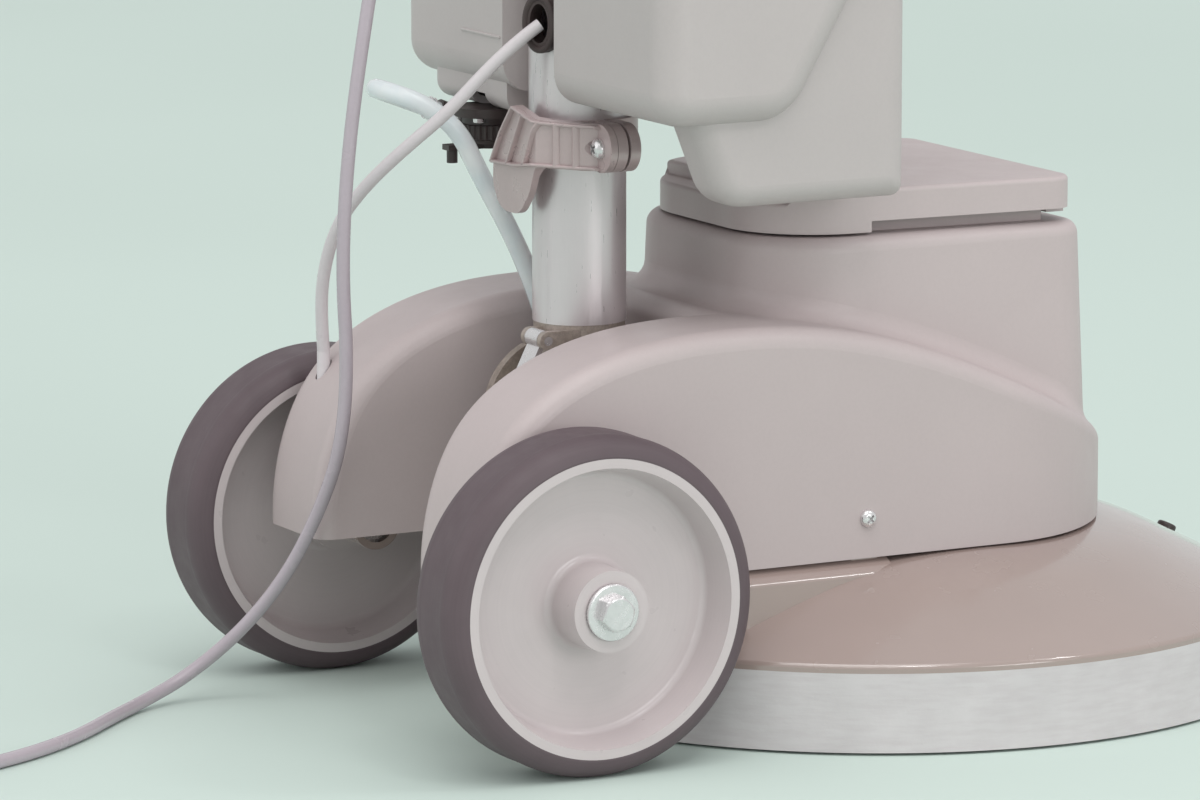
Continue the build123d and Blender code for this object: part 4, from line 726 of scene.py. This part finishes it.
def cross_screw(name, centre, axis, radius, height, material):
    """A pan head with a cross recess."""
    rings = [(-0.0004, radius * 0.98)]
    for share in (0.0, 0.25, 0.5, 0.7, 0.85, 0.95, 1.0):
        rings.append((height * share, radius * math.sqrt(max(1 - (share * 0.94) ** 3, 0.0))))
    piece = turned_solid(name, rings, centre, axis, material, 48)
    axis = Vector(axis).normalized()
    side = axis.orthogonal().normalized()
    up = axis.cross(side)
    arm = radius * 0.52
    width = radius * 0.13
    outline = [
        (arm, width), (width, width), (width, arm), (-width, arm), (-width, width), (-arm, width),
        (-arm, -width), (-width, -width), (-width, -arm), (width, -arm), (width, -width), (arm, -width),
    ]

    def place(u, v, w):
        return Vector(centre) + side * u + up * v + axis * w

    cutter = prism(name + "_recess", outline, height * 0.35, height * 2, place, material)
    modifier = piece.modifiers.new("recess", "BOOLEAN")
    modifier.operation = "DIFFERENCE"
    modifier.object = cutter
    apply_modifiers(piece)
    bpy.data.objects.remove(cutter)
    return piece


WASHER_BORE = 0.0054
WASHER_RADIUS = 0.015
WASHER_THICKNESS = 0.0025
WHEEL_BOLT_FLATS = 0.017
WHEEL_BOLT_HEIGHT = 0.0064
COVER_SCREW_RADIUS = 0.0049
COVER_SCREW_HEIGHT = 0.0032
CLAMP_SCREW_RADIUS = 0.0056
CLAMP_SCREW_HEIGHT = 0.0042
CLAMP_NUT_FLATS = 0.009
CLAMP_NUT_HEIGHT = 0.004
CLAMP_HEAD_INSET = 0.004


def make_fasteners(paint):
    zinc = paint["zinc_steel"]
    for side, name in SIDES:
        axis = (side, 0, 0)
        low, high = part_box("wheel_washers")
        outer = high.x if side > 0 else low.x
        inner = (outer - side * WASHER_THICKNESS, WHEEL_Y, WHEEL_Z)
        washer = plate_washer("washer_" + name, inner, axis, WASHER_BORE, WASHER_RADIUS,
                              WASHER_THICKNESS, zinc)
        seat(washer, "base", "zinc_steel", "wheel_washers")
        head = hex_head("wheel_bolt_" + name, (outer, WHEEL_Y, WHEEL_Z), axis, WHEEL_BOLT_FLATS,
                        WHEEL_BOLT_HEIGHT, zinc)
        seat(head, "base", "zinc_steel", "wheel_bolts")
        low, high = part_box("cover_screws")
        middle_y = (low.y + high.y) / 2
        middle_z = (low.z + high.z) / 2
        face = high.x - COVER_SCREW_HEIGHT if side > 0 else low.x + COVER_SCREW_HEIGHT
        screw = cross_screw("cover_screw_" + name, (face, middle_y, middle_z), axis, COVER_SCREW_RADIUS,
                            COVER_SCREW_HEIGHT, zinc)
        seat(screw, "base", "zinc_steel", "cover_screws")
    low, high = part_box("clamp_bolt")
    middle_x = (low.x + high.x) / 2
    middle_z = (low.z + high.z) / 2
    screw = cross_screw("clamp_screw", (middle_x, low.y + CLAMP_HEAD_INSET, middle_z), (0, -1, 0),
                        CLAMP_SCREW_RADIUS, CLAMP_SCREW_HEIGHT, zinc)
    seat(screw, "handle", "zinc_steel", "clamp_bolt")
    nut = hex_head("clamp_nut", (middle_x, high.y - CLAMP_HEAD_INSET, middle_z), (0, 1, 0), CLAMP_NUT_FLATS,
                   CLAMP_NUT_HEIGHT, zinc)
    seat(nut, "handle", "zinc_steel", "clamp_bolt")


# Clamp lever: ribs on its plate

LEVER_FACE = [(-0.030, -0.21825), (0.0205, -0.21825), (0.0385, -0.1995), (0.042, -0.1921), (0.060, -0.1921)]
LEVER_RIBS = [
    [(0.0445, 0.3207), (0.0240, 0.3222), (-0.0030, 0.3280)],
    [(-0.0030, 0.3280), (-0.0165, 0.3128), (-0.0272, 0.2962)],
    [(-0.0272, 0.2962), (0.0000, 0.2972), (0.0200, 0.2998), (0.0445, 0.2984)],
    [(0.0085, 0.3255), (-0.0090, 0.2970)],
    [(0.0225, 0.3225), (0.0100, 0.2985)],
    [(0.0290, 0.3217), (0.0290, 0.2992)],
    [(0.0365, 0.3212), (0.0365, 0.2990)],
]
RIB_HALF = 0.0009
RIB_HEIGHT = 0.0030
RIB_SINK = 0.0008


def lever_face(x):
    """The rear face of the lever's plate, as Y by X."""
    for (x0, y0), (x1, y1) in zip(LEVER_FACE, LEVER_FACE[1:]):
        if x <= x1:
            return y0 + (y1 - y0) * (x - x0) / (x1 - x0)
    return LEVER_FACE[-1][1]


def rib_mesh(line, half, height, steps=8):
    """Corners and faces of a rib that stands on the lever's plate along a line of (X, Z) points."""
    spots = []
    for (x0, z0), (x1, z1) in zip(line, line[1:]):
        for step in range(steps):
            share = step / steps
            spots.append((x0 + (x1 - x0) * share, z0 + (z1 - z0) * share))
    spots.append(line[-1])
    points = []
    for index, (x, z) in enumerate(spots):
        before = spots[max(index - 1, 0)]
        after = spots[min(index + 1, len(spots) - 1)]
        run = Vector((after[0] - before[0], after[1] - before[1])).normalized()
        face = lever_face(x)
        section = [(-half, -RIB_SINK), (-half, height * 0.8), (-half * 0.5, height),
                   (half * 0.5, height), (half, height * 0.8), (half, -RIB_SINK)]
        for side, depth in section:
            points.append((x - run.y * side, face - depth, z + run.x * side))
    faces = []
    ring = len(section)
    for index in range(len(spots) - 1):
        for corner in range(ring):
            after = (corner + 1) % ring
            low = index * ring
            faces.append((low + corner, low + after, low + ring + after, low + ring + corner))
    faces.append(tuple(range(ring)))
    last = (len(spots) - 1) * ring
    faces.append(tuple(range(last, last + ring)))
    return points, faces


def make_lever_ribs(paint):
    points = []
    faces = []
    for line in LEVER_RIBS:
        more_points, more_faces = rib_mesh(line, RIB_HALF, RIB_HEIGHT)
        base = len(points)
        points += more_points
        faces += [tuple(base + corner for corner in face) for face in more_faces]
    ribs = add_mesh("lever_ribs", points, faces, paint["clamp_paint"])
    tidy_normals(ribs)
    ribs.data.set_sharp_from_angle(angle=math.radians(50))
    seat(ribs, "lever", "clamp_paint")


# Grommet, boots and clips on the cords

GROMMET_ANGLE = math.radians(-70)
GROMMET_Z = 0.374
GROMMET_REACH = 0.0312
GROMMET_HALF_WIDTH = 0.0100
GROMMET_HALF_HEIGHT = 0.0140
GROMMET_LIP = 0.0021
BOOT_RINGS = [(-0.030, 0.0044), (-0.018, 0.0044), (-0.015, 0.0038), (0.0, 0.0036)]
CLIP_DISTANCES = (0.004, 0.0065)
CLIP_RADIUS = 0.0059
CLIP_WIRE = 0.0006
RELIEF_COUNT = 5
RELIEF_FOOT = 0.003
RELIEF_RUN = 0.019
RELIEF_RADIUS = 0.0054
RELIEF_TAPER = 0.0011
RELIEF_WIRE = 0.0008


def ring_mesh(name, centre, axis, radius, thickness, material, steps=64):
    """A round wire ring."""
    profile = []
    sides = 10
    for side in range(sides):
        angle = 2 * math.pi * side / sides
        profile.append((radius + thickness * math.cos(angle), thickness * math.sin(angle)))
    return lathe(name, profile, centre, axis, material, steps)


def oval_lip(name, centre, across, up, half_width, half_height, thickness, material):
    """A rounded lip that runs round an oval."""
    out = across.cross(up)
    steps = 64
    sides = 12
    points = []
    for step in range(steps):
        angle = 2 * math.pi * step / steps
        spot = centre + across * half_width * math.cos(angle) + up * half_height * math.sin(angle)
        away = across * half_height * math.cos(angle) + up * half_width * math.sin(angle)
        away.normalize()
        for side in range(sides):
            turn = 2 * math.pi * side / sides
            points.append(spot + away * thickness * math.cos(turn) + out * thickness * math.sin(turn))
    faces = []
    for step in range(steps):
        after = (step + 1) % steps
        for side in range(sides):
            onward = (side + 1) % sides
            faces.append((step * sides + side, after * sides + side,
                          after * sides + onward, step * sides + onward))
    piece = add_mesh(name, points, faces, material)
    tidy_normals(piece)
    return piece


def make_cord_fittings(paint):
    out = Vector((math.cos(GROMMET_ANGLE), math.sin(GROMMET_ANGLE), 0))
    across = Vector((-out.y, out.x, 0))
    centre = Vector((0, TUBE_Y, GROMMET_Z)) + out * GROMMET_REACH
    lip = oval_lip("grommet_lip", centre, across, Vector((0, 0, 1)), GROMMET_HALF_WIDTH, GROMMET_HALF_HEIGHT,
                   GROMMET_LIP, paint["black_rubber"])
    seat(lip, "handle", "black_rubber")
    boot = turned_solid("lead_boot", BOOT_RINGS, LEAD_POINTS[-1], (0, 0, 1), paint["lead_rubber"])
    seat(boot, "base", "lead_rubber", "lead_gland")
    start = Vector(HOSE_POINTS[0])
    along = (Vector(HOSE_POINTS[1]) - start).normalized()
    for number, distance in enumerate(CLIP_DISTANCES):
        clip = ring_mesh(f"hose_clip_{number}", start + along * distance, along, CLIP_RADIUS, CLIP_WIRE,
                         paint["zinc_steel"])
        seat(clip, "handle", "zinc_steel")
    low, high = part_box("cord_relief")
    middle_x = (low.x + high.x) / 2
    middle_y = (low.y + high.y) / 2
    for number in range(RELIEF_COUNT):
        share = number / RELIEF_COUNT
        z = low.z + RELIEF_FOOT + share * RELIEF_RUN
        radius = RELIEF_RADIUS + share * RELIEF_TAPER
        ring = ring_mesh(f"relief_ring_{number}", (middle_x, middle_y, z), (0, 0, 1), radius, RELIEF_WIRE,
                         paint["black_rubber"])
        seat(ring, "handle", "black_rubber")


# Tank cap, tank seam and valve

CAP_RIDGES = 60
CAP_RIDGE_DEPTH = 0.0007
CAP_EDGE_INSET = 0.0002
CAP_STEP = 0.002
SEAM_Y = -0.212
SEAM_OUTLINE = rectangle(-0.078, 0.3612, -0.032, 0.3628)
VALVE_X = -0.070
VALVE_Y = -0.200
COLLAR_RIDGES = 28
COLLAR_RIDGE_DEPTH = 0.0006
COLLAR_RADIUS = 0.0148
COLLAR_NECK = 0.0138
VALVE_SCREWS = 4
VALVE_SCREW_RING = 0.0163
VALVE_SCREW_Z = 0.315
VALVE_SCREW_FLATS = 0.0055
VALVE_SCREW_HEIGHT = 0.0024


def ridged(radius, depth, count):
    """A ring's radius by angle, with upright ridges."""
    def size(angle):
        return radius + depth * max(math.cos(count * angle), -0.3)
    return size


def make_tank_details(paint):
    low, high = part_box("tank_cap")
    cap_radius = (high.x - low.x) / 2
    cap_y = high.y - cap_radius
    neck = cap_radius - CAP_STEP
    edge = ridged(cap_radius - CAP_EDGE_INSET, CAP_RIDGE_DEPTH, CAP_RIDGES)
    rings = [(0.0012, neck), (0.0014, edge), (0.0052, edge), (0.0058, neck)]
    grip = turned_solid("cap_grip", rings, (0, cap_y, low.z), (0, 0, 1), paint["tank_plastic"], 360)
    seat(grip, "cap", "tank_plastic")
    seam = prism("tank_seam", SEAM_OUTLINE, -0.001, 0.0009, rear_face(SEAM_Y), paint["tank_plastic"])
    bevelled(seam, 0.0005)
    seat(seam, "handle", "tank_plastic")
    edge = ridged(COLLAR_RADIUS, COLLAR_RIDGE_DEPTH, COLLAR_RIDGES)
    rings = [(0.3025, COLLAR_NECK), (0.3030, edge), (0.3105, edge), (0.3110, COLLAR_NECK)]
    collar = turned_solid("valve_collar", rings, (VALVE_X, VALVE_Y, 0), (0, 0, 1),
                          paint["black_plastic"], 168)
    seat(collar, "handle", "black_plastic")
    for number in range(VALVE_SCREWS):
        angle = math.radians(45 + 90 * number)
        x = VALVE_X + VALVE_SCREW_RING * math.cos(angle)
        y = VALVE_Y + VALVE_SCREW_RING * math.sin(angle)
        bolt = hex_head(f"valve_screw_{number}", (x, y, VALVE_SCREW_Z), (0, 0, -1), VALVE_SCREW_FLATS,
                        VALVE_SCREW_HEIGHT, paint["zinc_steel"])
        seat(bolt, "handle", "zinc_steel")


# Handle head

HEAD_SCREW_PLACES = ((-0.060, 1.090), (0.060, 1.090), (-0.060, 1.158), (0.060, 1.158))
HEAD_SCREW_RADIUS = 0.0042
HEAD_SCREW_HEIGHT = 0.0022
PANEL_OUTLINE = rectangle(-0.042, 1.104, 0.042, 1.144)
PANEL_CORNER = 0.009
BUTTON_COLLAR = [(0.0104, 0), (0.0140, 0), (0.0125, 0.0028), (0.0104, 0.0028)]
BUTTON_COLLAR_ROUND = 0.001
BUTTON_COLLAR_SINK = 0.0003
GRIP_RIDGES = 9
GRIP_FIRST_X = 0.0965
GRIP_PITCH = 0.0073
GRIP_SINK = 0.0004
GRIP_WIRE = 0.0011


def make_head_details(paint):
    low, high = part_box("head_rear_shell")
    rear_y = low.y
    top_z = high.z
    for number, (x, z) in enumerate(HEAD_SCREW_PLACES):
        screw = cross_screw(f"head_screw_{number}", (x, rear_y, z), (0, -1, 0), HEAD_SCREW_RADIUS,
                            HEAD_SCREW_HEIGHT, paint["zinc_steel"])
        seat(screw, "handle", "zinc_steel")
    outline = round_corners(PANEL_OUTLINE, [PANEL_CORNER] * 4, 8)
    panel = prism("head_panel", outline, -0.001, 0.0016, rear_face(rear_y), paint["black_plastic"])
    bevelled(panel, 0.0008)
    seat(panel, "handle", "black_plastic")
    profile = round_corners(BUTTON_COLLAR, [0, 0, BUTTON_COLLAR_ROUND, BUTTON_COLLAR_ROUND], 4)
    foot = (0, TUBE_Y, top_z - BUTTON_COLLAR_SINK)
    collar = lathe("button_collar", profile, foot, (0, 0, 1), paint["black_plastic"])
    seat(collar, "handle", "black_plastic")
    low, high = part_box("grip_sleeves")
    middle_z = (low.z + high.z) / 2
    radius = (high.z - low.z) / 2 - GRIP_SINK
    for side, name in SIDES:
        for number in range(GRIP_RIDGES):
            spot = (side * (GRIP_FIRST_X + GRIP_PITCH * number), TUBE_Y, middle_z)
            ridge = ring_mesh(f"grip_ridge_{name}_{number}", spot, (1, 0, 0), radius, GRIP_WIRE,
                              paint["black_rubber"], 48)
            seat(ridge, "handle", "black_rubber")


# Floor, light and world

def make_stage():
    colour = linear(205, 220, 213)
    paint = Paint("floor_paint")
    clouds = paint.noise(0.8, 2.0)
    paint.colour(paint.ramp(clouds, scaled(colour, 0.985), scaled(colour, 1.015)))
    paint.shader.inputs["Roughness"].default_value = 0.75
    reach = 40
    points = [(-reach, -reach, 0), (reach, -reach, 0), (reach, reach, 0), (-reach, reach, 0)]
    floor = add_mesh("floor", points, [(0, 1, 2, 3)], paint.material, smooth=False)
    world = bpy.data.worlds.new("studio")
    scene.world = world
    world.use_nodes = True
    back = world.node_tree.nodes["Background"]
    back.inputs["Color"].default_value = (0.93, 0.95, 0.95, 1)
    back.inputs["Strength"].default_value = 0.72


def add_sun(name, strength, direction, spread, colour=(1, 1, 1)):
    data = bpy.data.lights.new(name, "SUN")
    data.energy = strength
    data.angle = math.radians(spread)
    data.color = colour
    light = bpy.data.objects.new(name, data)
    light.rotation_euler = Vector(direction).to_track_quat("-Z", "Y").to_euler()
    scene.collection.objects.link(light)


def add_softbox(name, power, place, target, width, height):
    data = bpy.data.lights.new(name, "AREA")
    data.energy = power
    data.shape = "RECTANGLE"
    data.size = width
    data.size_y = height
    light = bpy.data.objects.new(name, data)
    light.location = place
    light.rotation_euler = (Vector(target) - Vector(place)).to_track_quat("-Z", "Y").to_euler()
    scene.collection.objects.link(light)


def make_lights():
    add_sun("key_sun", 0.65, (-0.45, 0.30, -1.0), 40, (1.0, 0.985, 0.97))
    add_sun("side_sun", 0.5, (-0.97, -0.2, -0.22), 22)
    add_sun("rear_sun", 0.38, (0.25, 1.0, -0.5), 50)
    add_softbox("top_box", 4, (0.4, -0.2, 2.0), (0, -0.1, 0.2), 1.2, 0.8)
    add_softbox("spark_box", 2.2, (1.3, -0.3, 1.7), (0, -0.1, 0.1), 0.25, 0.25)
    add_softbox("ridge_box", 2.2, (0.926, 0.786, 1.433), (0.13, -0.1, 0.083), 0.22, 0.22)


# The scene

make_camera()
paint = make_materials()
for node_name, node in nodes.items():
    for row in frame["record"]["subparts"]:
        if row["node"] == node_name:
            node.data.materials.clear()
            node.data.materials.append(paint[row["material_slot"]])
make_cords(paint)
make_fasteners(paint)
make_lever_ribs(paint)
make_cord_fittings(paint)
make_tank_details(paint)
make_head_details(paint)
make_stage()
make_lights()
